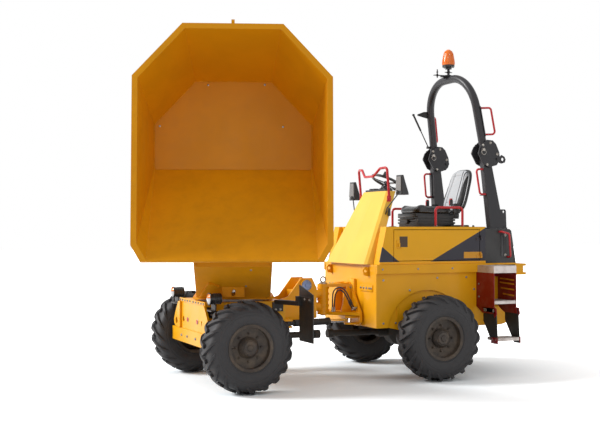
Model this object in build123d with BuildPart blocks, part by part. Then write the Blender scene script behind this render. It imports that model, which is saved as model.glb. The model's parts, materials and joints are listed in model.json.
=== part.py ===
from build123d import *
from math import atan2, cos, degrees, hypot, radians, sin, tan
import os

# Site dumper: two chassis halves on a centre pivot, a swivelling tipping skip over the
# front axle, and a driver's seat under a folding roll hoop over the rear axle.
# Millimetres; +X is forward, +Y is the driver's left, +Z is up. The origin is on the
# ground under the middle of the front axle.

os.makedirs("parts", exist_ok=True)

# ---------------------------------------------------------------- driving dimensions
wheelbase = 2015
track = 1610
running_clearance = 0.05
face_gap = 0.3

# tyres and rims
tyre_diameter = 845
tyre_width = 290
rim_diameter = 388
rim_flange_diameter = 430
rim_width = 229
rim_flange = 6
disc_thickness = 12
disc_offset = 30
hub_radius = 95
hub_back = 58
hub_front = 92
stub_radius = 30
stub_reach = 50

# front chassis
frame_half_width = 391
frame_front_x = 250
frame_rear_x = -560
frame_top_z = 800
frame_bottom_z = 400
plate = 20
top_plate = 32
tower_half_width = 130
tower_rear_x = -1010
tower_top_z = 1000

# centre pivot
pivot_x = -1140
pivot_barrel_radius = 55
pivot_barrel_z = (650, 900)
pivot_pin_radius = 25
ear_thickness = 30
pivot_neck_radius = 45
ear_half_width = 60
ear_root_half_width = 120
lower_ear_root_half_width = 320
yoke_plate_x = (-1425, -1400)
roll_z = 720
roll_shaft_radius = 60
roll_tube_radius = 95
roll_tube_length = 160
steer_z = 570
steer_foot = (-620, 300)
steer_eye = (-1335, 200)
lug_gap = 48
lug_thickness = 18

# rear chassis
body_front_x = -1442
body_rear_x = -3090
body_half_width = 590
body_bottom_z = 514
deck_z = 1138
deck_thickness = 18
band_depth = 90
band_half_width = 610
band_rear_x = -2798
arch_radius = 455

# seat box and rear box
seat_box_rear_x = -2715
seat_box_top_z = 1513
sheet = 10
footwell_x = (-2040, -1560)
footwell_half_width = 420
rear_box_top_z = 1490
rear_box_slope = 57

# console
console_foot_x = -1385
console_top_x = -1738
console_top_z = 1880
console_foot_half_width = 455
console_top_half_width = 274
console_foot_depth = 135
console_top_depth = 95

# skip, described flat: r forward from the swivel axis, z up from the ground
swivel_x = -172
swivel_rest = 69.5
tip_rest = 80
skip_length = 2100
skip_depth = 775
skip_wall = 8
lip_r = 1050
rim_z = 1850
rim_flat = 50
rim_deep = 60
lip_half_width = 770
lip_corner_run = 139
front_half_width = 851
shoulder_half_width = 869
tail_corner_run = 481
tail_half_width = 441
tail_rake = 279
ramp_run = 969
floor_half_width = 737
floor_corner_share = 0.12

# slew ring and swivel frame
slew_radius = 350
slew_height = 24
base_half_width = 385
base_thickness = 22
cheek_half_width = 350
cheek = 20
hinge_pin_radius = 30

# rams
ram_radius = 45
ram_rod_radius = 25
steer_ram_radius = 34
steer_rod_radius = 17
foot_tongue = 72
tip_lug_gap = 60
steer_pin_radius = 15

# roll-over hoop
hoop_tube = 84
fold_z = 2280
fold_x = -2765
fold_half_width = 495
hoop_top_x = -2640
hoop_top_z = 3100
hoop_top_half_width = 432
hoop_bend = 380
fold_gap = 56
fold_plate = 12
post_foot_x = -2866
post_foot_half_width = 545

# steps
step_front_x = -2600
step_rear_x = -2870

# seat
seat_front_x = -2110
seat_length = 500
seat_width = 480

# ---------------------------------------------------------------- places worked out
wheel_radius = tyre_diameter / 2
axle_z = wheel_radius
slew_bottom_z = frame_top_z
base_z = slew_bottom_z + slew_height
base_top_z = base_z + base_thickness
floor_z = rim_z - skip_depth

# the tip hinge is the point that carries the flat lip to the tipped lip
tipped_lip_r = 1532
tipped_lip_z = 1220


def tip_centre(flat, tipped, angle):
    """The point about which a turn by this angle takes the flat point to the tipped one."""
    mid_r = (flat[0] + tipped[0]) / 2
    mid_z = (flat[1] + tipped[1]) / 2
    run, rise = tipped[0] - flat[0], tipped[1] - flat[1]
    reach = 0.5 / sin(radians(angle) / 2) * cos(radians(angle) / 2)
    return mid_r + rise * reach, mid_z - run * reach


hinge_r, hinge_z = tip_centre((lip_r, rim_z), (tipped_lip_r, tipped_lip_z), tip_rest)
swivel_place = Location((swivel_x, 0, 0), (0, 0, swivel_rest))
tip_place = Location((hinge_r, 0, hinge_z)) * Location((0, 0, 0), (0, tip_rest, 0))
skip_place = swivel_place * tip_place * Location((-hinge_r, 0, -hinge_z))


# ---------------------------------------------------------------- shared shapes
def save(builder, name, place=Location()):
    """Label one finished piece, put it at its rest place and write it."""
    piece = builder.part.moved(place)
    piece.label = name
    export_step(piece, f"parts/{name}.step")


def plate_on(plane, outline, thickness, mode=Mode.ADD):
    """A flat plate: a closed outline drawn on a plane, thickened along its normal."""
    with BuildSketch(plane) as face:
        with BuildLine():
            Polyline(*outline, close=True)
        make_face()
    extrude(face.sketch, amount=thickness, mode=mode)


def side_plates(outline, inner_y, thickness, mode=Mode.ADD):
    """The same (x, z) outline as a left and a right plate."""
    plate_on(Plane.XZ.offset(-inner_y - thickness), outline, thickness, mode)
    plate_on(Plane.XZ.offset(inner_y), outline, thickness, mode)


def rod(start, end, radius, mode=Mode.ADD):
    """A round bar from one point to another."""
    run = Vector(*end) - Vector(*start)
    with BuildSketch(Plane(origin=start, z_dir=run)) as section:
        Circle(radius)
    extrude(section.sketch, amount=run.length, mode=mode)


def bent_bar(points, diameter, bend):
    """A round bar through these points, with its corners bent to one radius."""
    with BuildLine() as run:
        FilletPolyline(*points, radius=bend)
    with BuildSketch(Plane(origin=run.line @ 0, z_dir=run.line % 0)) as section:
        Circle(diameter / 2)
    sweep(section.sketch, path=run.line)


def block(x, y, z, mode=Mode.ADD):
    """A box between two x, two y and two z values."""
    with Locations(((x[0] + x[1]) / 2, (y[0] + y[1]) / 2, (z[0] + z[1]) / 2)):
        Box(abs(x[1] - x[0]), abs(y[1] - y[0]), abs(z[1] - z[0]), mode=mode)


# ---------------------------------------------------------------- wheels
def make_rim(name, place):
    """Wheel rim and hub: radius against distance outwards from the wheel's middle."""
    seat = rim_diameter / 2
    lip = rim_flange_diameter / 2
    half = rim_width / 2
    well = seat - 8
    with BuildPart() as rim:
        with BuildSketch():
            with BuildLine():
                Polyline(
                    (0, hub_front), (hub_radius - 25, hub_front), (hub_radius, hub_front - 30),
                    (hub_radius, disc_offset + disc_thickness),
                    (well, disc_offset + disc_thickness + 14), (well, half),
                    (lip - 4, half + rim_flange), (lip, half + rim_flange), (lip, half),
                    (seat, half), (seat, -half), (lip, -half), (lip, -half - rim_flange),
                    (lip - 4, -half - rim_flange), (well, -half), (well, disc_offset + 14),
                    (hub_radius, disc_offset), (hub_radius, -hub_back), (0, -hub_back),
                    close=True,
                )
            make_face()
        revolve(axis=Axis.Y)
        bore_depth = hub_back + stub_reach
        with Locations(Location((0, -hub_back + bore_depth / 2, 0), (90, 0, 0))):
            Cylinder(stub_radius + running_clearance, bore_depth, mode=Mode.SUBTRACT)
        with BuildSketch(Plane.XZ.offset(-disc_offset - disc_thickness)) as nuts:
            with PolarLocations(hub_radius + 30, 8):
                RegularPolygon(13, 6)
        extrude(nuts.sketch, amount=-16)
    save(rim, name, place)


def make_tyre(name, place):
    """Tyre: a solid ring whose round sidewalls bulge past the rim flanges."""
    seat = rim_diameter / 2
    bead = rim_width / 2 - 0.5
    half = tyre_width / 2
    bulge_radius = (seat + wheel_radius) / 2
    shoulder_radius = wheel_radius - 34
    with BuildPart() as tyre:
        with BuildSketch():
            with BuildLine():
                Line((seat, -bead), (seat, bead))
                Line((seat, bead), (seat + 24, bead))
                ThreePointArc((seat + 24, bead), (bulge_radius, half), (shoulder_radius, half - 14))
                ThreePointArc(
                    (shoulder_radius, half - 14),
                    (wheel_radius - 10, half - 36),
                    (wheel_radius, half - 62),
                )
                Line((wheel_radius, half - 62), (wheel_radius, 62 - half))
                ThreePointArc(
                    (wheel_radius, 62 - half),
                    (wheel_radius - 10, 36 - half),
                    (shoulder_radius, 14 - half),
                )
                ThreePointArc(
                    (shoulder_radius, 14 - half), (bulge_radius, -half), (seat + 24, -bead)
                )
                Line((seat + 24, -bead), (seat, -bead))
            make_face()
        revolve(axis=Axis.Y)
    save(tyre, name, place)


# name, axle x, side
wheels = [
    ("front_left", 0, 1),
    ("front_right", 0, -1),
    ("rear_left", -wheelbase, 1),
    ("rear_right", -wheelbase, -1),
]
for corner, wheel_x, side in wheels:
    turn = 0 if side > 0 else 180
    wheel_place = Location((wheel_x, side * track / 2, axle_z), (0, 0, turn))
    make_rim(f"rim_{corner}", wheel_place)
    make_tyre(f"tyre_{corner}", wheel_place)


# ---------------------------------------------------------------- axles
axle_end_y = track / 2 - hub_back - face_gap
axle_tube_radius = 62
brake_radius = 120
housing_radius = 150


def make_axle(name, axle_x, mount_top_z, nose_x):
    """Drive axle: round housing in the middle, tubes, brake drums and stub shafts."""
    with BuildPart() as axle:
        with BuildSketch(Plane.XY.offset(axle_z)):
            with BuildLine():
                Polyline(
                    (axle_x, -axle_end_y), (axle_x + brake_radius, -axle_end_y),
                    (axle_x + brake_radius, 70 - axle_end_y),
                    (axle_x + axle_tube_radius, 110 - axle_end_y),
                    (axle_x + axle_tube_radius, -190), (axle_x + housing_radius, -70),
                    (axle_x + housing_radius, 70), (axle_x + axle_tube_radius, 190),
                    (axle_x + axle_tube_radius, axle_end_y - 110),
                    (axle_x + brake_radius, axle_end_y - 70),
                    (axle_x + brake_radius, axle_end_y), (axle_x, axle_end_y),
                    close=True,
                )
            make_face()
        revolve(axis=Axis((axle_x, 0, axle_z), (0, 1, 0)))
        stub_end = track / 2 + stub_reach - 2
        rod((axle_x, -stub_end, axle_z), (axle_x, stub_end, axle_z), stub_radius)
        rod((axle_x, 0, axle_z), (nose_x, 0, axle_z), 58)
        for pad_y in (-300, 300):
            block((axle_x - 80, axle_x + 80), (pad_y - 50, pad_y + 50), (axle_z, mount_top_z))
    save(axle, name)


saddle_z = axle_z + 88
make_axle("front_axle", 0, saddle_z - face_gap, -200)
make_axle("rear_axle", -wheelbase, 600, -wheelbase + 230)


# ---------------------------------------------------------------- front chassis
frame_side = [
    (frame_front_x, frame_top_z - top_plate), (frame_front_x, 560), (225, frame_bottom_z),
    (150, frame_bottom_z), (110, saddle_z), (-110, saddle_z),
    (-150, frame_bottom_z), (-380, frame_bottom_z), (frame_rear_x, 560),
    (frame_rear_x, frame_top_z - top_plate),
]
tower_side = [
    (frame_rear_x + 15, frame_top_z - top_plate), (-700, 820), (-840, tower_top_z),
    (-960, tower_top_z), (tower_rear_x, 900), (tower_rear_x, 600), (frame_rear_x + 15, 520),
]
boss_x, boss_z = -890, 928
with BuildPart() as front_frame:
    side_plates(frame_side, frame_half_width - plate, plate)
    block((frame_rear_x, frame_front_x), (-frame_half_width, frame_half_width),
          (frame_top_z - top_plate, frame_top_z))
    block((frame_front_x - plate, frame_front_x), (-frame_half_width, frame_half_width),
          (410, frame_top_z - top_plate))
    block((frame_rear_x, frame_rear_x + plate), (-frame_half_width, frame_half_width),
          (528, frame_top_z - top_plate))
    for side in (1, -1):
        block((-110, 110), (side * 240, side * frame_half_width), (saddle_z, saddle_z + plate))
    side_plates(tower_side, tower_half_width - plate, plate)
    for cross_x in (-800, tower_rear_x):
        block((cross_x, cross_x + plate), (-tower_half_width, tower_half_width), (600, 880))
    for web_z in (620, 880 - plate):
        block((tower_rear_x, -780), (-tower_half_width, tower_half_width), (web_z, web_z + plate))
    # pivot barrel with its rings, carried on a short neck behind the tower
    rod((pivot_x, 0, pivot_barrel_z[0]), (pivot_x, 0, pivot_barrel_z[1]), pivot_barrel_radius)
    for ring_z in (650, 700, 760, 820, 880):
        rod((pivot_x, 0, ring_z), (pivot_x, 0, ring_z + 20), pivot_barrel_radius + 7)
    for neck_z in (700, 830):
        rod((pivot_x, 0, neck_z), (tower_rear_x + 10, 0, neck_z), pivot_neck_radius)
    rod((pivot_x, 0, pivot_barrel_z[0]), (pivot_x, 0, pivot_barrel_z[1]),
        pivot_pin_radius + running_clearance, Mode.SUBTRACT)
    # lugs and pin for the foot of the steering ram
    for lug_z in (steer_z - lug_gap / 2 - lug_thickness, steer_z + lug_gap / 2):
        block((steer_foot[0] - 35, frame_rear_x), (steer_foot[1] - 40, steer_foot[1] + 40),
              (lug_z, lug_z + lug_thickness))
    rod((*steer_foot, steer_z - 50), (*steer_foot, steer_z + 50), steer_pin_radius)
    # tie-down holes through the front plate
    with Locations((frame_front_x, 290, 600), (frame_front_x, -290, 600)):
        with Locations(Location((0, 0, 0), (0, 90, 0))):
            Cylinder(28, 3 * plate, mode=Mode.SUBTRACT)
    # hose opening in the middle of the slew ring
    with Locations((0 + swivel_x, 0, frame_top_z)):
        Cylinder(110, 4 * top_plate, mode=Mode.SUBTRACT)
save(front_frame, "front_frame")

with BuildPart() as tower_caps:
    for side in (1, -1):
        cap_y = side * (tower_half_width + face_gap)
        rod((boss_x, cap_y, boss_z), (boss_x, cap_y + side * 22, boss_z), 60)
save(tower_caps, "tower_caps")

# mudflaps behind the front tyres, each hung on a square arm from the chassis side
flap_x = -602
flap_arm_z = 772
with BuildPart() as mudflaps:
    for side in (1, -1):
        y = [side * value for value in (frame_half_width + face_gap, track / 2 - 160, track / 2 + 150)]
        plate_on(Plane.YZ.offset(flap_x), [(y[1], 965), (y[2], 885), (y[2], 440), (y[1], 440)], 10)
        block((flap_x + 10, flap_x + 22), (y[1], y[2] - side * 20), (815, 860))
        block((flap_x + 10, flap_x + 50), (y[1], y[1] + side * 60), (flap_arm_z, 860))
        plate_on(Plane.XY.offset(flap_arm_z), [(flap_x + 50, y[1] + side * 60), (flap_x + 10, y[1]),
                 (-520, y[0]), (-440, y[0])], 40)
        block((-530, -420), (y[0], y[0] + side * 12), (700, 790))
save(mudflaps, "mudflaps")

# headlamp brackets on the front corners
lamp_x, lamp_y, lamp_z = 277, 583, 868
with BuildPart() as lamp_brackets:
    for side in (1, -1):
        y = [side * value for value in (frame_half_width + face_gap, lamp_y)]
        block((150, 240), (y[0], y[0] + side * 10), (660, 760))
        plate_on(Plane.XY.offset(735), [(150, y[0]), (240, y[0]), (lamp_x, y[1] - side * 70),
                 (lamp_x, y[1] + side * 45), (lamp_x - 40, y[1] + side * 45)], 12)
        block((lamp_x - 52, lamp_x - 40), (y[1] - side * 70, y[1] + side * 45), (735, 800))
save(lamp_brackets, "lamp_brackets")

with BuildPart() as headlamps:
    for side in (1, -1):
        y = side * (lamp_y - 12)
        rod((lamp_x - 110, y, lamp_z - 18), (lamp_x - 10, y, lamp_z - 18), 50)
        rod((lamp_x - 10, y, lamp_z - 18), (lamp_x, y, lamp_z - 18), 56)
        block((lamp_x - 52, lamp_x - 40), (y - 20, y + 20), (800 + face_gap, lamp_z - 50))
save(headlamps, "headlamps")

with BuildPart() as slew_ring:
    with Locations((swivel_x, 0, slew_bottom_z + (slew_height - face_gap) / 2)):
        Cylinder(slew_radius, slew_height - face_gap)
        Cylinder(slew_radius - 90, slew_height, mode=Mode.SUBTRACT)
save(slew_ring, "slew_ring")

shaft_joint_gap = 45
shaft_radius = 32


def yoke_shaft(name, start_x, end_x):
    """Half of the propeller shaft, with its joint yoke at the end."""
    side = 1 if end_x > start_x else -1
    with BuildPart() as shaft:
        rod((start_x, 0, axle_z), (end_x, 0, axle_z), shaft_radius)
        rod((start_x, 0, axle_z), (start_x + side * 25, 0, axle_z), 55)
        rod((end_x - side * 60, 0, axle_z), (end_x, 0, axle_z), 44)
    save(shaft, name)


yoke_shaft("front_propshaft", -200 - face_gap, pivot_x + shaft_joint_gap)

# ---------------------------------------------------------------- centre pivot
ear_z = (pivot_barrel_z[0] - ear_thickness - face_gap, pivot_barrel_z[1] + face_gap)
ear_root = (lower_ear_root_half_width, ear_root_half_width)
with BuildPart() as pivot_yoke:
    for level, root in zip(ear_z, ear_root):
        with BuildSketch(Plane.XY.offset(level)) as ear:
            with BuildLine():
                Polyline((pivot_x, ear_half_width), (yoke_plate_x[1], root),
                         (yoke_plate_x[1], -root), (pivot_x, -ear_half_width))
                ThreePointArc((pivot_x, -ear_half_width), (pivot_x + ear_half_width, 0),
                              (pivot_x, ear_half_width))
            make_face()
            with Locations((pivot_x, 0)):
                Circle(pivot_pin_radius + running_clearance, mode=Mode.SUBTRACT)
        extrude(ear.sketch, amount=ear_thickness)
    # back plate, widening down to the lower ear, with an arm for the steering ram
    low, foot = ear_z[0], steer_z - 55
    plate_on(Plane.YZ.offset(yoke_plate_x[0]), [
        (-ear_root[0], low), (-ear_root[0], low + ear_thickness), (-130, 880), (-90, 945),
        (90, 945), (130, 880), (ear_root[0], low + ear_thickness), (ear_root[0], foot + 40),
        (steer_eye[1] + 60, foot), (steer_eye[1] - 60, foot), (110, low)],
        yoke_plate_x[1] - yoke_plate_x[0])
    for rib_y in (-75, 55):
        plate_on(Plane.XZ.offset(-rib_y), [(yoke_plate_x[1], ear_z[1] + ear_thickness),
                 (-1270, ear_z[1] + ear_thickness), (yoke_plate_x[1], 945)], -plate)
    # webs between the ears, sloping back to the plate
    for web_y in (-118, 98):
        plate_on(Plane.XZ.offset(-web_y), [(yoke_plate_x[1], low + ear_thickness),
                 (-1290, low + ear_thickness), (-1350, ear_z[1]), (yoke_plate_x[1], ear_z[1])],
                 -plate)
    rod((yoke_plate_x[1], 0, roll_z), (body_front_x - roll_tube_length, 0, roll_z),
        roll_shaft_radius)
    # round lugs for the eye of the steering ram
    for lug_z in (steer_z - lug_gap / 2 - lug_thickness, steer_z + lug_gap / 2):
        with BuildSketch(Plane.XY.offset(lug_z)) as lug:
            with Locations(steer_eye):
                Circle(48)
            with Locations(((yoke_plate_x[1] + steer_eye[0]) / 2, steer_eye[1])):
                Rectangle(steer_eye[0] - yoke_plate_x[1], 96)
        extrude(lug.sketch, amount=lug_thickness)
save(pivot_yoke, "pivot_yoke")

hose_diameter = 14
hose_end_z = ear_z[0] + ear_thickness
# start and rise from the back plate, over in an arc, and down to the lower ear
hose_routes = [
    [(yoke_plate_x[1], 244, 694), (-1370, 244, 694), (-1322, 246, 786), (-1292, 240, 850),
     (-1262, 228, 890), (-1232, 195, 906), (-1210, 155, 890), (-1198, 115, 850),
     (-1200, 98, 765), (-1200, 98, hose_end_z)],
    [(yoke_plate_x[1], 214, 676), (-1371, 214, 676), (-1324, 218, 762), (-1298, 214, 816),
     (-1276, 204, 854), (-1253, 176, 876), (-1238, 140, 868), (-1230, 106, 832),
     (-1230, 82, 764), (-1230, 82, hose_end_z)],
]


def bend_radii(route):
    """The largest bend at each corner that its two runs leave room for."""
    radii = []
    for before, corner, after in zip(route, route[1:], route[2:]):
        coming, going = Vector(*corner) - Vector(*before), Vector(*after) - Vector(*corner)
        turn = radians(coming.get_angle(going))
        radii.append(0.45 * min(coming.length, going.length) / tan(turn / 2))
    return radii


with BuildPart() as steering_hoses:
    for route in hose_routes:
        radii = bend_radii(route)
        print("hose bends", [round(radius) for radius in radii])
        with BuildLine() as run:
            FilletPolyline(*route, radius=radii)
        with BuildSketch(Plane(origin=run.line @ 0, z_dir=run.line % 0)) as section:
            Circle(hose_diameter / 2)
        sweep(section.sketch, path=run.line)
        low_end, high_end = Vector(*route[1]), Vector(*route[2])
        rod(low_end + (high_end - low_end) * 0.5, low_end + (high_end - low_end) * 0.9,
            hose_diameter / 2 + 4)
save(steering_hoses, "steering_hoses")

pin_top_z = ear_z[1] + ear_thickness
with BuildPart() as pivot_pin:
    rod((pivot_x, 0, ear_z[0] - 12), (pivot_x, 0, pin_top_z + face_gap), pivot_pin_radius)
    rod((pivot_x, 0, pin_top_z + face_gap), (pivot_x, 0, pin_top_z + 14), 42)
    with Locations(Location((pivot_x, 0, pin_top_z + 44), (90, 0, 0))):
        Torus(28, 8)
save(pivot_pin, "pivot_pin")

# ---------------------------------------------------------------- rear chassis
arch_centre = (-wheelbase, axle_z)
with BuildPart() as rear_frame:
    # side skirts with round wheel arches and a rounded tail
    for skirt_y in (-body_half_width, body_half_width - sheet):
        with BuildSketch(Plane.XZ.offset(-skirt_y)) as skirt:
            with BuildLine():
                Polyline((body_rear_x, deck_z - band_depth), (body_front_x, deck_z - band_depth),
                         (body_front_x, body_bottom_z), (-1640, body_bottom_z), (-1640, 500),
                         (-2560, 500), (-2890, 500))
                TangentArc((-2890, 500), (body_rear_x, 690), tangent=(-1, 0.1))
                Line((body_rear_x, 690), (body_rear_x, deck_z - band_depth))
            make_face()
            with Locations(arch_centre):
                Circle(arch_radius, mode=Mode.SUBTRACT)
        extrude(skirt.sketch, amount=-sheet)
    # front wall, inner rails, cross members and tail plate
    block((body_front_x - 15, body_front_x), (-body_half_width + sheet, body_half_width - sheet),
          (body_bottom_z, deck_z - deck_thickness))
    for rail_y in (-330, 310):
        block((body_rear_x + 30, body_front_x - 15), (rail_y, rail_y + plate), (600, 760))
    for cross_x in (-1700, -2640):
        block((cross_x, cross_x + plate), (-body_half_width + sheet, body_half_width - sheet),
              (600, 760))
    # bearing tube of the centre pivot's roll shaft
    rod((body_front_x, 0, roll_z), (body_front_x - roll_tube_length, 0, roll_z), roll_tube_radius)
    for web_z in (roll_z - 130, roll_z + 110):
        block((body_front_x - roll_tube_length, body_front_x), (-150, 150), (web_z, web_z + plate))
    for web_y in (-150, 130):
        block((body_front_x - roll_tube_length, body_front_x), (web_y, web_y + plate),
              (roll_z - 130, roll_z + 130))
    rod((body_front_x + 1, 0, roll_z), (body_front_x - roll_tube_length - 1, 0, roll_z),
        roll_shaft_radius + running_clearance, Mode.SUBTRACT)
    # lifting eye plates at the top of the front wall
    for eye_y in (-430, 415):
        plate_on(Plane.XZ.offset(-eye_y), [(body_front_x, 1020), (-1390, 1030), (-1375, 1080),
                 (-1400, 1112), (body_front_x, 1112)], -15)
        rod((-1405, eye_y - 1, 1072), (-1405, eye_y + 16, 1072), 16, Mode.SUBTRACT)
save(rear_frame, "rear_frame")

# tail cowl, open towards the engine
cowl_wall = 14
cowl_half_width = body_half_width - sheet - face_gap
cowl_top_z = deck_z - deck_thickness - face_gap


def cowl_form(wall, mode=Mode.ADD):
    """The tail's side outline, round under its rear, drawn in by a wall."""
    rear_x, top_z, floor_z = body_rear_x + face_gap + wall, cowl_top_z - wall, 515 + wall
    front_x = -2700 + (1 if wall else 0)
    with BuildSketch(Plane.XZ.offset(cowl_half_width - wall)) as outline:
        with BuildLine():
            Polyline((front_x, 780), (front_x, top_z), (rear_x, top_z), (rear_x, 700))
            TangentArc((rear_x, 700), (-2900, floor_z), tangent=(0, -1))
            Polyline((-2900, floor_z), (-2800, floor_z), (front_x, 780))
        make_face()
    extrude(outline.sketch, amount=-2 * (cowl_half_width - wall), mode=mode)


with BuildPart() as tail_cowl:
    cowl_form(0)
    cowl_form(cowl_wall, Mode.SUBTRACT)
    block((-2760, -2700), (-350, 350), (590, 780), Mode.SUBTRACT)
    for side in (1, -1):
        block((body_rear_x - 1, -2690), (side * (305 - face_gap), side * (335 + face_gap)),
              (595, 765), Mode.SUBTRACT)
save(tail_cowl, "tail_cowl")

# deck: one plate with deep side bands along the body
with BuildPart() as deck:
    block((band_rear_x, body_front_x), (-band_half_width, band_half_width),
          (deck_z - deck_thickness, deck_z))
    block((body_rear_x, band_rear_x), (-body_half_width, body_half_width),
          (deck_z - deck_thickness, deck_z))
    for side in (1, -1):
        block((band_rear_x, body_front_x + 4),
              (side * (body_half_width + face_gap), side * (band_half_width + 4)),
              (deck_z - band_depth, deck_z))
save(deck, "deck")

# rear bumper: a channel across the tail, open to the rear
with BuildPart() as bumper:
    plate_on(Plane.XZ.offset(body_half_width - 30), [
        (body_rear_x - face_gap, 1010), (-3240, 1010), (-3240, 1036), (-3205, 1036),
        (-3205, 1102), (-3240, 1102), (-3240, 1128), (body_rear_x - face_gap, 1128)],
        -2 * (body_half_width - 30))
save(bumper, "bumper")

# towing jaw: two plates on a back plate, with one pin hole through both
hitch_x = -3200
hitch_z = 640
jaw_gap = 62
jaw_plate = 25
hitch_bore = 16
with BuildPart() as tow_hitch:
    block((body_rear_x - face_gap - 25, body_rear_x - face_gap), (-110, 110), (720, 860))
    plate_on(Plane.XZ.offset(40), [(body_rear_x - 25, 740), (body_rear_x - 25, 840),
             (-3150, 790), (-3150, hitch_z + jaw_gap / 2), (-3118, hitch_z + jaw_gap / 2)], -80)
    block((-3150, -3105), (-60, 60), (hitch_z - jaw_gap / 2 - jaw_plate, 790))
    for level in (hitch_z - jaw_gap / 2 - jaw_plate, hitch_z + jaw_gap / 2):
        with BuildSketch(Plane.XY.offset(level)) as jaw:
            with BuildLine():
                Polyline((hitch_x, 55), (-3120, 60), (-3120, -60), (hitch_x, -55))
                ThreePointArc((hitch_x, -55), (hitch_x - 55, 0), (hitch_x, 55))
            make_face()
        extrude(jaw.sketch, amount=jaw_plate)
    rod((hitch_x, 0, hitch_z - 80), (hitch_x, 0, hitch_z + 80), hitch_bore, Mode.SUBTRACT)
save(tow_hitch, "tow_hitch")

with BuildPart() as engine_block:
    block((-2560, -1960), (-270, 270), (640, 1100))
    block((-1960, -1760), (-190, 190), (605, 900))
    for foot_x in (-2480, -2100):
        block((foot_x, foot_x + 70), (face_gap - 310, 310 - face_gap), (640, 680))
save(engine_block, "engine_block")

yoke_shaft("rear_propshaft", -wheelbase + 230 + face_gap, pivot_x - shaft_joint_gap)

# ---------------------------------------------------------------- seat box and its doors
door_x = (-2640, -1640)
door_z = (1175, 1480)
door_gap = 6
door_pin_radius = 7
door_hinge = (door_x[0] - 14, body_half_width + 12)
box_y = body_half_width
with BuildPart() as seat_box:
    with BuildSketch(Plane.XZ.offset(box_y)) as outline:
        with BuildLine():
            Polyline((seat_box_rear_x, deck_z + face_gap), (seat_box_rear_x, seat_box_top_z),
                     (-1556, seat_box_top_z), (-1475, deck_z + face_gap), close=True)
        make_face()
    extrude(outline.sketch, amount=-2 * box_y)
    block((seat_box_rear_x + sheet, footwell_x[0] - sheet), (sheet - box_y, box_y - sheet),
          (deck_z, seat_box_top_z - sheet), Mode.SUBTRACT)
    block((footwell_x[0], -1400), (-footwell_half_width, footwell_half_width),
          (deck_z, seat_box_top_z + 1), Mode.SUBTRACT)
    block((-1590, -1400), (-console_foot_half_width - 15, console_foot_half_width + 15),
          (deck_z, seat_box_top_z + 1), Mode.SUBTRACT)
    for side in (1, -1):
        block((footwell_x[0] - sheet, -1600), (side * (footwell_half_width + sheet),
              side * (box_y - sheet)), (deck_z, seat_box_top_z - sheet), Mode.SUBTRACT)
        block((door_x[0] - door_gap, door_x[1] + door_gap), (side * (box_y - sheet - 1),
              side * (box_y + 1)), (door_z[0] - door_gap, door_z[1] + door_gap), Mode.SUBTRACT)
        # hinge knuckles beside the rear edge of each doorway
        for knuckle_z in (1215, 1400):
            knuckle_y = side * door_hinge[1]
            block((door_hinge[0] - 10, door_hinge[0] + 8), (side * (box_y - sheet), knuckle_y),
                  (knuckle_z, knuckle_z + 25))
            rod((door_hinge[0], knuckle_y, knuckle_z), (door_hinge[0], knuckle_y, knuckle_z + 25),
                11)
            rod((door_hinge[0], knuckle_y, knuckle_z - 20),
                (door_hinge[0], knuckle_y, knuckle_z + 25), door_pin_radius)
save(seat_box, "seat_box")

for door_name, side in (("left", 1), ("right", -1)):
    with BuildPart() as door:
        block(door_x, (side * (box_y - sheet), side * box_y), door_z)
        for knuckle_z in (1215, 1400):
            y = side * door_hinge[1]
            block((door_hinge[0], door_x[0] + 40), (side * box_y, side * (box_y + 6)),
                  (knuckle_z - 25, knuckle_z - face_gap))
            rod((door_hinge[0], y, knuckle_z - 25), (door_hinge[0], y, knuckle_z - face_gap), 12)
            rod((door_hinge[0], y, knuckle_z - 25), (door_hinge[0], y, knuckle_z),
                door_pin_radius + running_clearance, Mode.SUBTRACT)
        # paddle latch in its shallow dish
        block((-1730, -1672), (side * box_y, side * (box_y + 6)), (1300, 1380))
        block((-1718, -1684), (side * (box_y + 6), side * (box_y + 16)), (1312, 1350))
    save(door, f"side_door_{door_name}")

# ---------------------------------------------------------------- rear box and handles
with BuildPart() as rear_box:
    plate_on(Plane.XZ.offset(box_y), [
        (seat_box_rear_x - face_gap, deck_z + face_gap), (body_rear_x, deck_z + face_gap),
        (body_rear_x + rear_box_slope, rear_box_top_z - 18),
        (body_rear_x + rear_box_slope + 25, rear_box_top_z),
        (seat_box_rear_x - face_gap, rear_box_top_z)], -2 * box_y)
save(rear_box, "rear_box")

handle_bar = 21
with BuildPart() as side_handles:
    for side in (1, -1):
        y = [side * value for value in (box_y + face_gap, box_y + 55)]
        bent_bar([(-2985, y[0], 1200), (-2985, y[1], 1200), (-2970, y[1], 1440),
                  (-2880, y[1], 1462), (-2880, y[0], 1462)], handle_bar, 22)
save(side_handles, "side_handles")

# ---------------------------------------------------------------- console
console_rise = console_top_z - deck_z
console_wall = 8
console_corner = 26
console_fold = 12
console_fold_y = 30


def console_form(wall, mode=Mode.ADD):
    """The console's tapering outline, drawn in by a wall; its front is folded and its corners cut."""
    corner = console_corner - (2 - 2 ** 0.5) * wall
    sections = []
    for z, front_x, depth, half_width in [
            (deck_z + face_gap, console_foot_x, console_foot_depth, console_foot_half_width),
            (console_top_z - wall, console_top_x, console_top_depth, console_top_half_width)]:
        front, rear, side = front_x - wall, front_x - depth + wall, half_width - wall
        with BuildSketch(Plane.XY.offset(z)) as section:
            with BuildLine():
                Polyline((rear, -side), (front - corner, -side), (front, corner - side),
                         (front + console_fold, console_fold_y), (front, side - corner),
                         (front - corner, side), (rear, side), close=True)
            make_face()
        sections.append(section.sketch)
    loft(sections, ruled=True, mode=mode)


with BuildPart() as console:
    console_form(0)
    console_form(console_wall, Mode.SUBTRACT)
save(console, "console")

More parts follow.
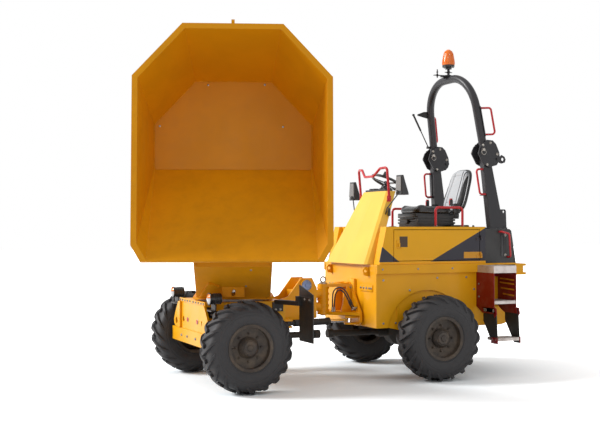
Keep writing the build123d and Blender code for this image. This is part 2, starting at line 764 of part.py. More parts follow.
# steering column and its wheel, leaning back along the console
column_lean = 25.5
wheel_centre = Vector(-1885, 0, 1968)
column_axis = Vector(-sin(radians(column_lean)), 0, cos(radians(column_lean)))
column_plane = Plane(origin=wheel_centre, x_dir=(cos(radians(column_lean)), 0,
                     sin(radians(column_lean))), z_dir=column_axis)
with BuildPart() as steering_column:
    with BuildSketch(column_plane.offset(-28)) as column:
        Circle(24)
    extrude(column.sketch, amount=-130)
    with BuildSketch(column_plane.offset(-46)) as shroud:
        Circle(45)
    extrude(shroud.sketch, amount=-96)
    block((-1838, -1790), (-70, 70), (console_top_z + face_gap, console_top_z + 26))
    block((console_top_x - 90, console_top_x - 6), (-220, 220),
          (console_top_z + face_gap, console_top_z + 20))
    block((-1870, -1824), (-36, 36), (1838, console_top_z + 20))
    block((-1900, console_top_x), (-280, 280), (1700, console_top_z + face_gap), Mode.SUBTRACT)
save(steering_column, "steering_column")

with BuildPart() as steering_wheel:
    with BuildSketch(column_plane.offset(-27)) as hub:
        Circle(30)
    extrude(hub.sketch, amount=34)
    with BuildSketch(Plane(origin=column_plane.origin, x_dir=column_plane.y_dir,
                           z_dir=column_plane.x_dir)) as rim_section:
        with Locations((172, 14)):
            Circle(14)
    revolve(rim_section.sketch, axis=Axis(wheel_centre, column_axis))
    with BuildSketch(column_plane.offset(-6)) as spokes:
        with PolarLocations(88, 3, start_angle=90):
            Rectangle(160, 24)
    extrude(spokes.sketch, amount=9)
    with BuildSketch(column_plane.offset(24)) as knob:
        with Locations((120, 120)):
            Circle(20)
    extrude(knob.sketch, amount=44, taper=6)
save(steering_wheel, "steering_wheel")

def console_half_width(z):
    """Half width of the console at one height."""
    share = (z - deck_z) / console_rise
    return console_foot_half_width + share * (console_top_half_width - console_foot_half_width)


def console_front_x(z):
    """Front face of the console at one height."""
    return console_foot_x + (z - deck_z) / console_rise * (console_top_x - console_foot_x)


# red guard bar over the console, dipping between its two ends
guard_bar = 26
with BuildPart() as console_guard:
    foot_z, shoulder_z, dip_z = 1790, 2118, 2034
    foot_y = console_half_width(foot_z) + guard_bar / 2 + 2
    foot_x = console_front_x(foot_z) - 45
    bent_bar([(foot_x, foot_y, foot_z), (-1712, foot_y + 4, shoulder_z),
              (-1694, 200, shoulder_z - 6), (-1672, 95, dip_z), (-1672, -95, dip_z),
              (-1694, -200, shoulder_z - 6), (-1712, -foot_y - 4, shoulder_z),
              (foot_x, -foot_y, foot_z)], guard_bar, 34)
    for side in (1, -1):
        pad_y = console_half_width(foot_z - 20) + face_gap
        block((foot_x - 22, foot_x + 22), (side * pad_y, side * (pad_y + 8)),
              (foot_z - 20, foot_z + 40))
save(console_guard, "console_guard")

# name, side, y, z
# side, y, z of the glass's middle
mirror_places = [(1, 500, 1931), (-1, -545, 1900)]
with BuildPart() as mirrors:
    for side, mirror_y, mirror_z in mirror_places:
        arm_y = side * (console_half_width(1640) + 5)
        arm_x = console_front_x(1640) - 60
        bent_bar([(arm_x, arm_y, 1640), (arm_x, arm_y + side * 30, 1700),
                  (-1745, mirror_y - side * 20, 1840), (-1745, mirror_y, mirror_z)], 12, 25)
        with BuildSketch(Plane.XY.offset(mirror_z + 100)) as mirror_top:
            with Locations((-1758, mirror_y)):
                RectangleRounded(26, 118, 12)
        with BuildSketch(Plane.XY.offset(mirror_z - 98)) as mirror_foot:
            with Locations((-1784, mirror_y)):
                RectangleRounded(88, 142, 24)
        loft([mirror_foot.sketch, mirror_top.sketch], ruled=True)
save(mirrors, "mirrors")

# ---------------------------------------------------------------- seat
seat_rear_x = seat_front_x - seat_length
cushion_z = (1650, 1752)
with BuildPart() as seat_base:
    block((seat_rear_x + 30, seat_front_x - 30), (-200, 200),
          (seat_box_top_z + face_gap, seat_box_top_z + 30))
    for fold in range(3):
        low = seat_box_top_z + 30 + fold * 32
        block((seat_rear_x + 22, seat_front_x - 22), (-212, 212), (low, low + 20))
        block((seat_rear_x + 36, seat_front_x - 36), (-198, 198), (low + 20, low + 32))
    plate_on(Plane.XZ.offset(-100), [
        (seat_rear_x + 22, 1600), (seat_rear_x + 22, cushion_z[0] - face_gap),
        (seat_rear_x - 20, cushion_z[0] - face_gap), (seat_rear_x - 22, 1680.4),
        (seat_rear_x - 94, 1657.6), (seat_rear_x - 94, 1600)], 200)
save(seat_base, "seat_base")

with BuildPart() as seat_cushion:
    block((seat_rear_x + 20, seat_front_x), (-seat_width / 2, seat_width / 2), cushion_z)
    fillet(seat_cushion.edges().filter_by(Axis.Z), 60)
    fillet(seat_cushion.faces().sort_by(Axis.Z)[-1].edges(), 30)
save(seat_cushion, "seat_cushion")

back_lean = 17.5
back_plane = Plane(origin=(seat_rear_x - 28, 0, 1700),
                   x_dir=(0, 1, 0), z_dir=(cos(radians(back_lean)), 0, sin(radians(back_lean))))
with BuildPart() as seat_back:
    with BuildSketch(back_plane) as back:
        with Locations((0, 230)):
            RectangleRounded(seat_width - 20, 500, 120)
    extrude(back.sketch, amount=-78)
    fillet(seat_back.faces().sort_by(Axis.X)[-1].edges(), 20)
save(seat_back, "seat_back")

with BuildPart() as seat_guards:
    for y in (-455, 455):
        bent_bar([(-2200, y, seat_box_top_z + face_gap), (-2200, y, 1712), (-2522, y, 1712),
                  (-2522, y, seat_box_top_z + face_gap)], 26, 36)
save(seat_guards, "seat_guards")

# ---------------------------------------------------------------- steps
riser = 8
with BuildPart() as step_frames:
    for side in (1, -1):
        for riser_x in (step_front_x - riser, step_rear_x):
            y = [side * value for value in (body_half_width + face_gap, 700, 905, 925)]
            plate_on(Plane.YZ.offset(riser_x), [
                (y[0], deck_z - band_depth - face_gap), (y[2], deck_z - band_depth - face_gap),
                (y[2], 700), (y[3], 640), (y[1], 640), (y[0], 700)], riser)
        block((step_rear_x + riser, step_front_x - riser), (side * body_half_width + side * face_gap,
              side * (body_half_width + 12)), (1000, deck_z - band_depth - face_gap))
save(step_frames, "step_frames")

with BuildPart() as step_legs:
    for side in (1, -1):
        for leg_x in (step_front_x - riser - face_gap, step_rear_x - face_gap):
            y = [side * value for value in (705, 925, 950, 860)]
            plate_on(Plane.YZ.offset(leg_x), [
                (y[0], 690), (y[1], 690), (y[2], 345), (y[3], 345), (y[0], 560)], -10)
save(step_legs, "step_legs")

with BuildPart() as step_treads:
    for side in (1, -1):
        block((step_rear_x, step_front_x), (side * (band_half_width + 5), side * 905),
              (deck_z - band_depth, deck_z - 18))
        block((step_rear_x + riser + face_gap, step_front_x - riser - face_gap),
              (side * (body_half_width + face_gap), side * 905), (738, 768))
        block((step_rear_x, step_front_x - riser - 10 - 2 * face_gap),
              (side * 760, side * 950), (372, 402))
    for side in (1, -1):
        block((step_rear_x + 12, step_front_x - 12), (side * 640, side * 880),
              (deck_z - band_depth - 1, deck_z - 48), Mode.SUBTRACT)
save(step_treads, "step_treads")

# ---------------------------------------------------------------- roll-over hoop
fold_pivot = (fold_x - 112, fold_z - 62)
fold_pin_radius = 12
lower_end_z = fold_z - 12
fold_outline = [(-60, 130), (10, 135), (95, 60), (118, -10), (60, -110), (-20, -150),
                (-110, -125), (-150, -60), (-140, 10), (-100, 95)]
with BuildPart() as rops_posts:
    for side in (1, -1):
        foot_y = side * post_foot_half_width
        top_y = side * fold_half_width
        with BuildSketch(Plane.XY.offset(rear_box_top_z + face_gap)):
            with Locations((post_foot_x, foot_y)):
                Rectangle(165, 74)
        with BuildSketch(Plane.XY.offset(lower_end_z)):
            with Locations((fold_x, top_y)):
                Rectangle(hoop_tube, 74)
        loft(ruled=True)
        block((post_foot_x - 120, post_foot_x + 100), (foot_y - 42, foot_y + 42),
              (rear_box_top_z + face_gap, rear_box_top_z + 16))
        for cheek_y in (top_y - fold_gap - fold_plate, top_y + fold_gap):
            plate_on(Plane.XZ.offset(-cheek_y), [(fold_x + x, fold_z + z) for x, z in fold_outline],
                     -fold_plate)
        # gusset with a lashing hole behind the foot
        plate_on(Plane.XZ.offset(-foot_y - 7), [
            (post_foot_x - 60, rear_box_top_z + 12), (post_foot_x - 135, rear_box_top_z + 12),
            (post_foot_x - 128, rear_box_top_z + 190), (post_foot_x - 116, rear_box_top_z + 205),
            (post_foot_x - 40, rear_box_top_z + 205)], 14)
        rod((post_foot_x - 100, foot_y - 10, rear_box_top_z + 180),
            (post_foot_x - 100, foot_y + 10, rear_box_top_z + 180), 13, Mode.SUBTRACT)
        # spacers that weld the cheeks to the post, the pivot bolt and the lock pin heads
        block((fold_x - 30, fold_x + 30), (top_y - fold_gap, top_y + fold_gap),
              (fold_z - 130, fold_z - 60))
        rod((fold_pivot[0], top_y - fold_gap - 26, fold_pivot[1]),
            (fold_pivot[0], top_y + fold_gap + 26, fold_pivot[1]), fold_pin_radius)
        for head_y in (top_y - fold_gap - fold_plate - 28, top_y + fold_gap + fold_plate):
            rod((fold_x + 70, head_y, fold_z + 30), (fold_x + 70, head_y + 28, fold_z + 30), 20)
save(rops_posts, "rops_posts")

with BuildPart() as rops_hoop:
    bent_bar([(fold_x, fold_half_width, lower_end_z + 14),
              (hoop_top_x, hoop_top_half_width, hoop_top_z),
              (hoop_top_x, -hoop_top_half_width, hoop_top_z),
              (fold_x, -fold_half_width, lower_end_z + 14)], hoop_tube, hoop_bend)
    for side in (1, -1):
        lug_y = side * fold_half_width
        plate_on(Plane.XZ.offset(-lug_y - 22), [
            (fold_pivot[0] - 26, fold_pivot[1]), (fold_pivot[0], fold_pivot[1] - 26),
            (fold_pivot[0] + 26, fold_pivot[1]), (fold_x - 60, lower_end_z + 14),
            (fold_x, lower_end_z + 22), (fold_x, fold_z + 90), (fold_pivot[0] - 5, fold_z + 20)],
            44)
        rod((fold_pivot[0], lug_y - 60, fold_pivot[1]), (fold_pivot[0], lug_y + 60, fold_pivot[1]),
            fold_pin_radius + running_clearance, Mode.SUBTRACT)
    # beacon bracket on the crown
    block((hoop_top_x - 40, hoop_top_x + 70), (-60, 60), (3136, 3146))
    rod((hoop_top_x, 0, 3140), (hoop_top_x, 0, 3215), 14)
save(rops_hoop, "rops_hoop")

with BuildPart() as beacon_base:
    rod((hoop_top_x, 0, 3215 + face_gap), (hoop_top_x, 0, 3240), 34)
    rod((hoop_top_x, 0, 3240), (hoop_top_x, 0, 3262), 66)
save(beacon_base, "beacon_base")

with BuildPart() as beacon_lens:
    with BuildSketch(Plane.XZ):
        with BuildLine():
            Polyline((0, 3262 + face_gap), (68, 3262 + face_gap), (66, 3300), (52, 3385),
                     (36, 3415), (18, 3430), (0, 3430), close=True)
        make_face()
    revolve(axis=Axis.Z)
save(beacon_lens, "beacon_lens", Location((hoop_top_x, 0, 0)))


def on_line(start, end, z):
    """The point of a straight line at one height."""
    share = (z - start[2]) / (end[2] - start[2])
    return [a + share * (b - a) for a, b in zip(start, end)]


post_line = ((post_foot_x, post_foot_half_width, rear_box_top_z),
             (fold_x, fold_half_width, lower_end_z))
hoop_line = (post_line[1], (hoop_top_x, hoop_top_half_width, hoop_top_z))


def grab_loop(side, line, low_z, high_z, reach, offset):
    """A grab handle welded to a post: out by reach in x and y, and back to the post."""
    ends = []
    for z in (low_z, high_z):
        x, y, _ = on_line(*line, z)
        start = Vector(x, side * y, z)
        way = Vector(reach[0], side * reach[1], 0)
        ends.append((start + way.normalized() * offset, start + way))
    low, high = ends
    bent_bar([low[0], low[1], high[1], high[0]], handle_bar, 30)


with BuildPart() as hoop_handles:
    for side in (1, -1):
        grab_loop(side, hoop_line, 2474, 2750, (-115, 92), hoop_tube / 2 + 4)
save(hoop_handles, "hoop_handles")

with BuildPart() as post_handles:
    for side in (1, -1):
        ends = []
        for z in (1850, 2110):
            x, y, _ = on_line(*post_line, z)
            share = (z - rear_box_top_z) / (lower_end_z - rear_box_top_z)
            face_x = x + 82.5 + share * (hoop_tube / 2 - 82.5) + 1.2
            ends.append(((face_x, side * (y + 20), z), (x + 140, side * (y + 20), z)))
        (low_start, low_out), (high_start, high_out) = ends
        bent_bar([low_start, low_out, high_out, high_start], handle_bar, 30)
save(post_handles, "post_handles")

# ---------------------------------------------------------------- swivel frame
cheek_inner = cheek_half_width - cheek
cheek_outline = [(-370, base_top_z), (385, base_top_z), (hinge_r + 55, hinge_z - 80),
                 (hinge_r + 62, hinge_z + 10), (hinge_r, hinge_z + 62), (hinge_r - 60, hinge_z + 20),
                 (440, 990), (-370, 960)]
ram_foot = (-290, 935)
boss_half_width = 103
with BuildPart() as swivel_frame:
    with BuildSketch(Plane.XY.offset(base_z)) as base:
        Rectangle(2 * base_half_width, 2 * base_half_width)
        chamfer(base.vertices(), 90)
        Circle(105, mode=Mode.SUBTRACT)
    extrude(base.sketch, amount=base_thickness)
    side_plates(cheek_outline, cheek_inner, cheek)
    # sloping front plate between the cheeks, closing the frame up to the hinge
    slope = [(base_half_width - 2, base_top_z - 6), (hinge_r + 40, hinge_z - 95),
             (hinge_r + 48, hinge_z + 8), (hinge_r + 36, hinge_z + 8), (hinge_r + 28, hinge_z - 86),
             (base_half_width - 20, base_top_z - 6)]
    plate_on(Plane.XZ.offset(-cheek_inner), slope, 2 * cheek_inner)
    # boss with a square face under the front plate, and its locking hole
    slope_rise = (hinge_z - 89 - base_top_z) / (hinge_r + 42 - base_half_width)
    boss_r = (base_half_width + 40, base_half_width + 205)
    plate_on(Plane.XZ.offset(-boss_half_width), [
        (boss_r[0], base_top_z + slope_rise * 40 + 4), (boss_r[0] + 30, base_top_z + 12),
        (boss_r[1], base_top_z + 12), (boss_r[1], base_top_z + slope_rise * 205 + 4)],
        2 * boss_half_width)
    rod((boss_r[1] + 1, 0, base_top_z + 45), (boss_r[1] - 60, 0, base_top_z + 45), 20,
        Mode.SUBTRACT)
    # three-cornered stiffener from one foot of the front plate
    slope_plane = Plane(origin=(base_half_width - 2, 0, base_top_z - 6), x_dir=(0, 1, 0),
                        z_dir=(slope_rise, 0, -1))
    plate_on(slope_plane, [(-cheek_inner + 8, 40), (-225, 341), (-130, 271)], 18)
    block((-370, -350), (-cheek_inner, cheek_inner), (base_top_z, 955))
    # hinge pin through both cheeks, with its end bosses
    rod((hinge_r, -cheek_half_width - 62, hinge_z), (hinge_r, -cheek_inner + 12, hinge_z),
        hinge_pin_radius)
    rod((hinge_r, cheek_inner - 12, hinge_z), (hinge_r, cheek_half_width + 62, hinge_z),
        hinge_pin_radius)
    # foot lugs of the tip ram
    for lug_y in (-tip_lug_gap / 2 - lug_thickness, tip_lug_gap / 2):
        plate_on(Plane.XZ.offset(-lug_y), [(-345, base_top_z), (-235, base_top_z),
                 (-250, ram_foot[1] + 40), (-330, ram_foot[1] + 40)], -lug_thickness)
    rod((ram_foot[0], -58, ram_foot[1]), (ram_foot[0], 58, ram_foot[1]), 20)
save(swivel_frame, "swivel_frame", swivel_place)

# ---------------------------------------------------------------- skip
floor_front_r = lip_r - ramp_run
tail_r = lip_r - skip_length
shoulder_r = tail_r + tail_corner_run
floor_tail_r = tail_r + tail_rake
skip_mouth = [(lip_r, lip_half_width), (lip_r - lip_corner_run, front_half_width),
              (shoulder_r, shoulder_half_width), (tail_r, tail_half_width)]


def same_way(start, end, run):
    """How far an edge moves sideways over a run, going the way of the mouth's edge."""
    (r0, s0), (r1, s1) = skip_mouth[start], skip_mouth[end]
    return (s1 - s0) / (r1 - r0) * run


# the floor's corners lie under the mouth's, on edges that run the same way
floor_corner_r = floor_front_r - floor_corner_share * lip_corner_run
floor_shoulder_r = floor_tail_r + 425
floor_corner_s = floor_half_width + same_way(1, 2, floor_corner_r - floor_shoulder_r)
floor_points = [
    (floor_front_r, floor_corner_s + same_way(0, 1, floor_front_r - floor_corner_r)),
    (floor_corner_r, floor_corner_s), (floor_shoulder_r, floor_half_width),
    (floor_tail_r, floor_half_width + same_way(2, 3, floor_tail_r - floor_shoulder_r)),
]


def drawn_in(points, by, front=0):
    """A half outline with each edge moved inwards by a wall, the front edge by its own."""
    ends = [(points[0][0], 0)] + points + [(points[-1][0], 0)]
    lines = []
    for (r0, s0), (r1, s1) in zip(ends, ends[1:]):
        length = hypot(r1 - r0, s1 - s0)
        normal_r, normal_s = (s1 - s0) / length, (r0 - r1) / length
        inward = by if lines else front
        lines.append((normal_r, normal_s, normal_r * r0 + normal_s * s0 - inward))
    corners = []
    for (a, b, c), (d, e, f) in zip(lines, lines[1:]):
        corners.append(((c * e - b * f) / (a * e - b * d), (a * f - c * d) / (a * e - b * d)))
    return corners


def both_sides(half):
    """A half outline closed with its mirror image."""
    return half + [(r, -s) for r, s in reversed(half)]


def hull_between(low, high, low_z, high_z, mode=Mode.ADD):
    """A flat-sided body between two outlines of the same corners."""
    sections = []
    for outline, z in ((low, low_z), (high, high_z)):
        with BuildSketch(Plane.XY.offset(z)) as section:
            with BuildLine():
                Polyline(*both_sides(outline), close=True)
            make_face()
        sections.append(section.sketch)
    loft(sections, ruled=True, mode=mode)


lip_edge = skip_wall / sin(atan2(skip_depth, ramp_run))
under_z = floor_z - skip_wall
under_slope = (rim_z - under_z) / (lip_r - floor_front_r)
with BuildPart() as skip_shell:
    with BuildSketch(Plane.XY.offset(rim_z - rim_deep)):
        with BuildLine():
            Polyline(*both_sides(skip_mouth), close=True)
        make_face()
    extrude(amount=rim_deep)
    hull_between(drawn_in(floor_points, -skip_wall), drawn_in(skip_mouth, rim_flat - skip_wall),
                 under_z, rim_z)
    hull_between(floor_points, drawn_in(skip_mouth, rim_flat, lip_edge), floor_z, rim_z,
                 Mode.SUBTRACT)
    # stop lug in the middle of the tail's rim
    block((tail_r - 38, tail_r + 20), (-14, 14), (rim_z - 46, rim_z - 6))
save(skip_shell, "skip_shell", skip_place)

liner_thickness = 5
with BuildPart() as skip_liner:
    with BuildSketch(Plane.XY.offset(floor_z)):
        with BuildLine():
            Polyline(*both_sides(drawn_in(floor_points, 9)), close=True)
        make_face()
    extrude(amount=liner_thickness)
save(skip_liner, "skip_liner", skip_place)


def under_ramp(r):
    """Height of the ramp's underside, from the floor's front edge to the lip."""
    return under_z + (r - floor_front_r) * under_slope


bracket_gap = 6
bracket_plate = 24
ram_eye = (500, 1080)
with BuildPart() as skip_brackets:
    hinge_outline = [(-300, under_z), (floor_front_r, under_z), (860, under_ramp(860)),
                     (hinge_r + 58, hinge_z + 20), (hinge_r + 45, hinge_z - 38),
                     (hinge_r, hinge_z - 58), (hinge_r - 60, hinge_z - 40), (420, 1020),
                     (-300, 1020)]
    side_plates(hinge_outline, cheek_half_width + bracket_gap, bracket_plate)
    for side in (1, -1):
        rod((hinge_r, side * (cheek_half_width + bracket_gap - 1), hinge_z),
            (hinge_r, side * (cheek_half_width + bracket_gap + bracket_plate + 1), hinge_z),
            hinge_pin_radius + running_clearance, Mode.SUBTRACT)
    for lug_y in (-tip_lug_gap / 2 - lug_thickness, tip_lug_gap / 2):
        plate_on(Plane.XZ.offset(-lug_y), [
            (380, under_ramp(380)), (660, under_ramp(660)), (ram_eye[0] + 42, ram_eye[1] + 10),
            (ram_eye[0] + 20, ram_eye[1] - 36), (ram_eye[0] - 20, ram_eye[1] - 36),
            (ram_eye[0] - 42, ram_eye[1])], -lug_thickness)
save(skip_brackets, "skip_brackets", skip_place)


# ---------------------------------------------------------------- rams
def turned(point, centre, angle):
    """A flat (r, z) point carried round a centre by a forward tip."""
    dr, dz = point[0] - centre[0], point[1] - centre[1]
    c, sn = cos(radians(angle)), sin(radians(angle))
    return centre[0] + dr * c + dz * sn, centre[1] - dr * sn + dz * c


def make_ram(name, length, barrel_length, rod_length, barrel_r, rod_r, pin_r, width, place):
    """A ram along +X from its foot pin at the origin, as a barrel and a rod."""
    with BuildPart() as barrel:
        rod((0, 0, 0), (foot_tongue + 20, 0, 0), min(rod_r + 8, width / 2))
        rod((foot_tongue, 0, 0), (barrel_length, 0, 0), barrel_r)
        rod((barrel_length - 30, 0, 0), (barrel_length, 0, 0), barrel_r + 5)
        rod((0, -width / 2, 0), (0, width / 2, 0), pin_r + 18)
        rod((0, -width / 2, 0), (0, width / 2, 0), pin_r + running_clearance, Mode.SUBTRACT)
        rod((foot_tongue + 20, 0, 0), (barrel_length, 0, 0), rod_r + running_clearance,
            Mode.SUBTRACT)
    save(barrel, f"{name}_barrel", place)
    with BuildPart() as ram_rod:
        rod((length - rod_length, 0, 0), (length, 0, 0), rod_r)
        rod((length, -width / 2, 0), (length, width / 2, 0), rod_r + 10)
    save(ram_rod, f"{name}_rod", place)


eye_tipped = turned(ram_eye, (hinge_r, hinge_z), tip_rest)
tip_ram_run = (eye_tipped[0] - ram_foot[0], eye_tipped[1] - ram_foot[1])
tip_ram_rest = hypot(*tip_ram_run)
tip_ram_flat = hypot(ram_eye[0] - ram_foot[0], ram_eye[1] - ram_foot[1])
tip_ram_lean = degrees(atan2(tip_ram_run[1], tip_ram_run[0]))
make_ram("tip_ram", tip_ram_rest, tip_ram_flat - 110, 640, ram_radius, ram_rod_radius, 20,
         tip_lug_gap - 4,
         swivel_place * Location((ram_foot[0], 0, ram_foot[1]), (0, -tip_ram_lean, 0)))

steer_run = (steer_eye[0] - steer_foot[0], steer_eye[1] - steer_foot[1])
make_ram("steering_ram", hypot(*steer_run), 480, 470, steer_ram_radius, steer_rod_radius,
         steer_pin_radius, lug_gap - 4,
         Location((*steer_foot, steer_z), (0, 0, degrees(atan2(steer_run[1], steer_run[0]))))
         * Location((0, 0, 0), (90, 0, 0)))
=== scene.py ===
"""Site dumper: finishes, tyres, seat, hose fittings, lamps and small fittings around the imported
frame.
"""
import json
from math import atan2, copysign, cos, exp, hypot, pi, radians, sin, sqrt, tau

import bmesh
import bpy
import numpy as np
from mathutils import Matrix, Vector


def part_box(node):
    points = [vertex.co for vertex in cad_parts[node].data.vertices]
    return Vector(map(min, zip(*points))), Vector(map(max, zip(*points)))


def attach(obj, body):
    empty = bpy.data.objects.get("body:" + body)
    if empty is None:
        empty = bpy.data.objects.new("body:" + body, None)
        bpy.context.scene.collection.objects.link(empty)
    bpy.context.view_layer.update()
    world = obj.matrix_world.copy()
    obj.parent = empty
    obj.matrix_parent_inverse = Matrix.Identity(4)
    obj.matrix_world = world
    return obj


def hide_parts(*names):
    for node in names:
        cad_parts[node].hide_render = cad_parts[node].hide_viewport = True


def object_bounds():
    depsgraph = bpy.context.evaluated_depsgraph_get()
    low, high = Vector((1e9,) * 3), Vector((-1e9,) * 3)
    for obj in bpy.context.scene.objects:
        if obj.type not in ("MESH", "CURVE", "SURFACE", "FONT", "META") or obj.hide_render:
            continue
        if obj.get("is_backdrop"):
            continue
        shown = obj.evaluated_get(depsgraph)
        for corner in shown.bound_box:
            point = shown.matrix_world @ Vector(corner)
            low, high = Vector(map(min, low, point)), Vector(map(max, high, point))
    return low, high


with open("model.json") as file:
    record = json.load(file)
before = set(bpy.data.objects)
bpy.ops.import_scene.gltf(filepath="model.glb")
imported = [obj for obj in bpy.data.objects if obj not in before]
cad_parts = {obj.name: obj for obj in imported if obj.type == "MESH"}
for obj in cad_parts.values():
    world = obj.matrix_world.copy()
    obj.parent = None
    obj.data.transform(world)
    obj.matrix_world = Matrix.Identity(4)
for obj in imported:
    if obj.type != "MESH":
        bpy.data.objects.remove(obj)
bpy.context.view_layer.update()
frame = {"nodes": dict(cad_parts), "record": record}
nodes = frame["nodes"]

FLOOR_COLOUR = 0.62
FRONT = "front_chassis"
REAR = "rear_chassis"
CORNERS = (("front_left", 1), ("front_right", -1), ("rear_left", 1), ("rear_right", -1))
SIDES = (1, -1)
WHITE = (1.0, 1.0, 1.0)


# ---------------- node trees
class Wiring:
    """A cleared node tree with short helpers."""

    def __init__(self, owner):
        owner.use_nodes = True
        self.tree = owner.node_tree
        self.tree.nodes.clear()
        self.owner = owner

    def add(self, kind, **settings):
        node = self.tree.nodes.new(kind)
        for key, value in settings.items():
            setattr(node, key, value)
        return node

    def link(self, a, b):
        self.tree.links.new(a, b)

    def put(self, socket, value):
        """Give a socket a colour, a number, or another node's output."""
        if isinstance(value, tuple):
            socket.default_value = (*value, 1) if len(socket.default_value) == 4 else value
        elif isinstance(value, (int, float)):
            socket.default_value = value
        else:
            self.link(value, socket)

    def ramp(self, value, low, high, start=0.0, end=1.0, kind="LINEAR"):
        node = self.add("ShaderNodeMapRange", interpolation_type=kind)
        for name, given in (("Value", value), ("From Min", low), ("From Max", high),
                            ("To Min", start), ("To Max", end)):
            self.put(node.inputs[name], given)
        return node.outputs["Result"]

    def math(self, operation, a, b=0.0):
        node = self.add("ShaderNodeMath", operation=operation)
        self.put(node.inputs[0], a)
        self.put(node.inputs[1], b)
        return node.outputs[0]

    def times(self, a, b):
        return self.math("MULTIPLY", a, b)

    def mix(self, factor, a, b):
        node = self.add("ShaderNodeMix", data_type="RGBA")
        for socket, value in ((node.inputs["Factor"], factor), (node.inputs[6], a),
                              (node.inputs[7], b)):
            self.put(socket, value)
        return node.outputs[2]

    def background_ray(self):
        """1 on rays that should see the white surroundings: camera, glossy and transmission."""
        rays = self.add("ShaderNodeLightPath").outputs
        seen = self.math("MAXIMUM", rays["Is Camera Ray"], rays["Is Glossy Ray"])
        return self.math("MAXIMUM", seen, rays["Is Transmission Ray"])


# ---------------- camera and light
def add_object(name, data):
    made = bpy.data.objects.new(name, data)
    bpy.context.scene.collection.objects.link(made)
    return made


def aim(made, way, axis):
    """Turn an object so that one of its axes follows a direction."""
    made.rotation_mode = "QUATERNION"
    made.rotation_quaternion = Vector(way).to_track_quat(axis, "Y")


def make_camera():
    """Low and off the left side, looking at the skip and the seat."""
    data = bpy.data.cameras.new("camera")
    data.sensor_width = 36
    data.lens = 61.76
    data.clip_end = 200
    camera = add_object("camera", data)
    yaw, pitch = radians(-113.766), radians(0.723)
    camera.location = (3.3155, 9.5358, 1.5003)
    aim(camera, (cos(yaw) * cos(pitch), sin(yaw) * cos(pitch), sin(pitch)), "-Z")
    bpy.context.scene.camera = camera


def make_world(fill):
    """White to the camera and in reflections, a plain soft fill for everything else."""
    world = bpy.data.worlds.new("world")
    bpy.context.scene.world = world
    g = Wiring(world)
    mix = g.add("ShaderNodeMixShader")
    g.link(g.background_ray(), mix.inputs[0])
    for socket, strength in ((mix.inputs[1], fill), (mix.inputs[2], 1.0)):
        glow = g.add("ShaderNodeBackground")
        g.put(glow.inputs["Color"], WHITE)
        g.put(glow.inputs["Strength"], strength)
        g.link(glow.outputs[0], socket)
    g.link(mix.outputs[0], g.add("ShaderNodeOutputWorld").inputs["Surface"])


def add_sun(name, towards, strength, spread):
    """A soft distant lamp; towards points from the object to the lamp."""
    data = bpy.data.lights.new(name, "SUN")
    data.energy = strength
    data.angle = radians(spread)
    aim(add_object(name, data), towards, "Z")


def make_floor(painted_shadow_level, far_level, near=1.0, far=3.6, size=60):
    """A wide pale floor, lifted to white away from the machine and held lower near it as a painted
    shadow, that keeps the soft shadow.
    """
    mesh = bpy.data.meshes.new("floor")
    mesh.from_pydata([(-size, -size, 0), (size, -size, 0), (size, size, 0), (-size, size, 0)],
                     [], [(0, 1, 2, 3)])
    floor = add_object("floor", mesh)
    g = Wiring(bpy.data.materials.new("floor"))
    away = g.add("ShaderNodeVectorMath", operation="DISTANCE")
    g.link(g.add("ShaderNodeTexCoord").outputs["Object"], away.inputs[0])
    g.put(away.inputs[1], (-1.0, 0.0, 0.0))
    # painted shadow: the level the camera sees falls smoothly towards the machine, so the floor
    # darkens under it
    reach = g.ramp(away.outputs["Value"], near, far, kind="SMOOTHSTEP")
    seen = g.mix(reach, painted_shadow_level, (far_level,) * 3)
    lit = g.add("ShaderNodeBsdfDiffuse")
    g.link(g.mix(g.background_ray(), (FLOOR_COLOUR,) * 3, seen), lit.inputs["Color"])
    g.link(lit.outputs[0], g.add("ShaderNodeOutputMaterial").inputs["Surface"])
    mesh.materials.append(g.owner)
    floor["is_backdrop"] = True


bpy.context.scene.view_settings.view_transform = "Standard"
make_camera()
make_world(0.54)
add_sun("key", (0.80, -0.40, 0.50), 3.3, 20)
add_sun("side", (0.1, 0.85, 0.5), 0.35, 60)
# the first level is the painted shadow close to the machine, the second the white further out
make_floor((1.18, 1.25, 1.29), 1.95)


# ---------------- materials
def rgb(*srgb):
    """A colour written as 0-255 screen values, turned into linear light."""
    return tuple((v / 255 / 12.92) if v / 255 <= 0.04045 else ((v / 255 + 0.055) / 1.055) ** 2.4
                 for v in srgb)


materials = {}


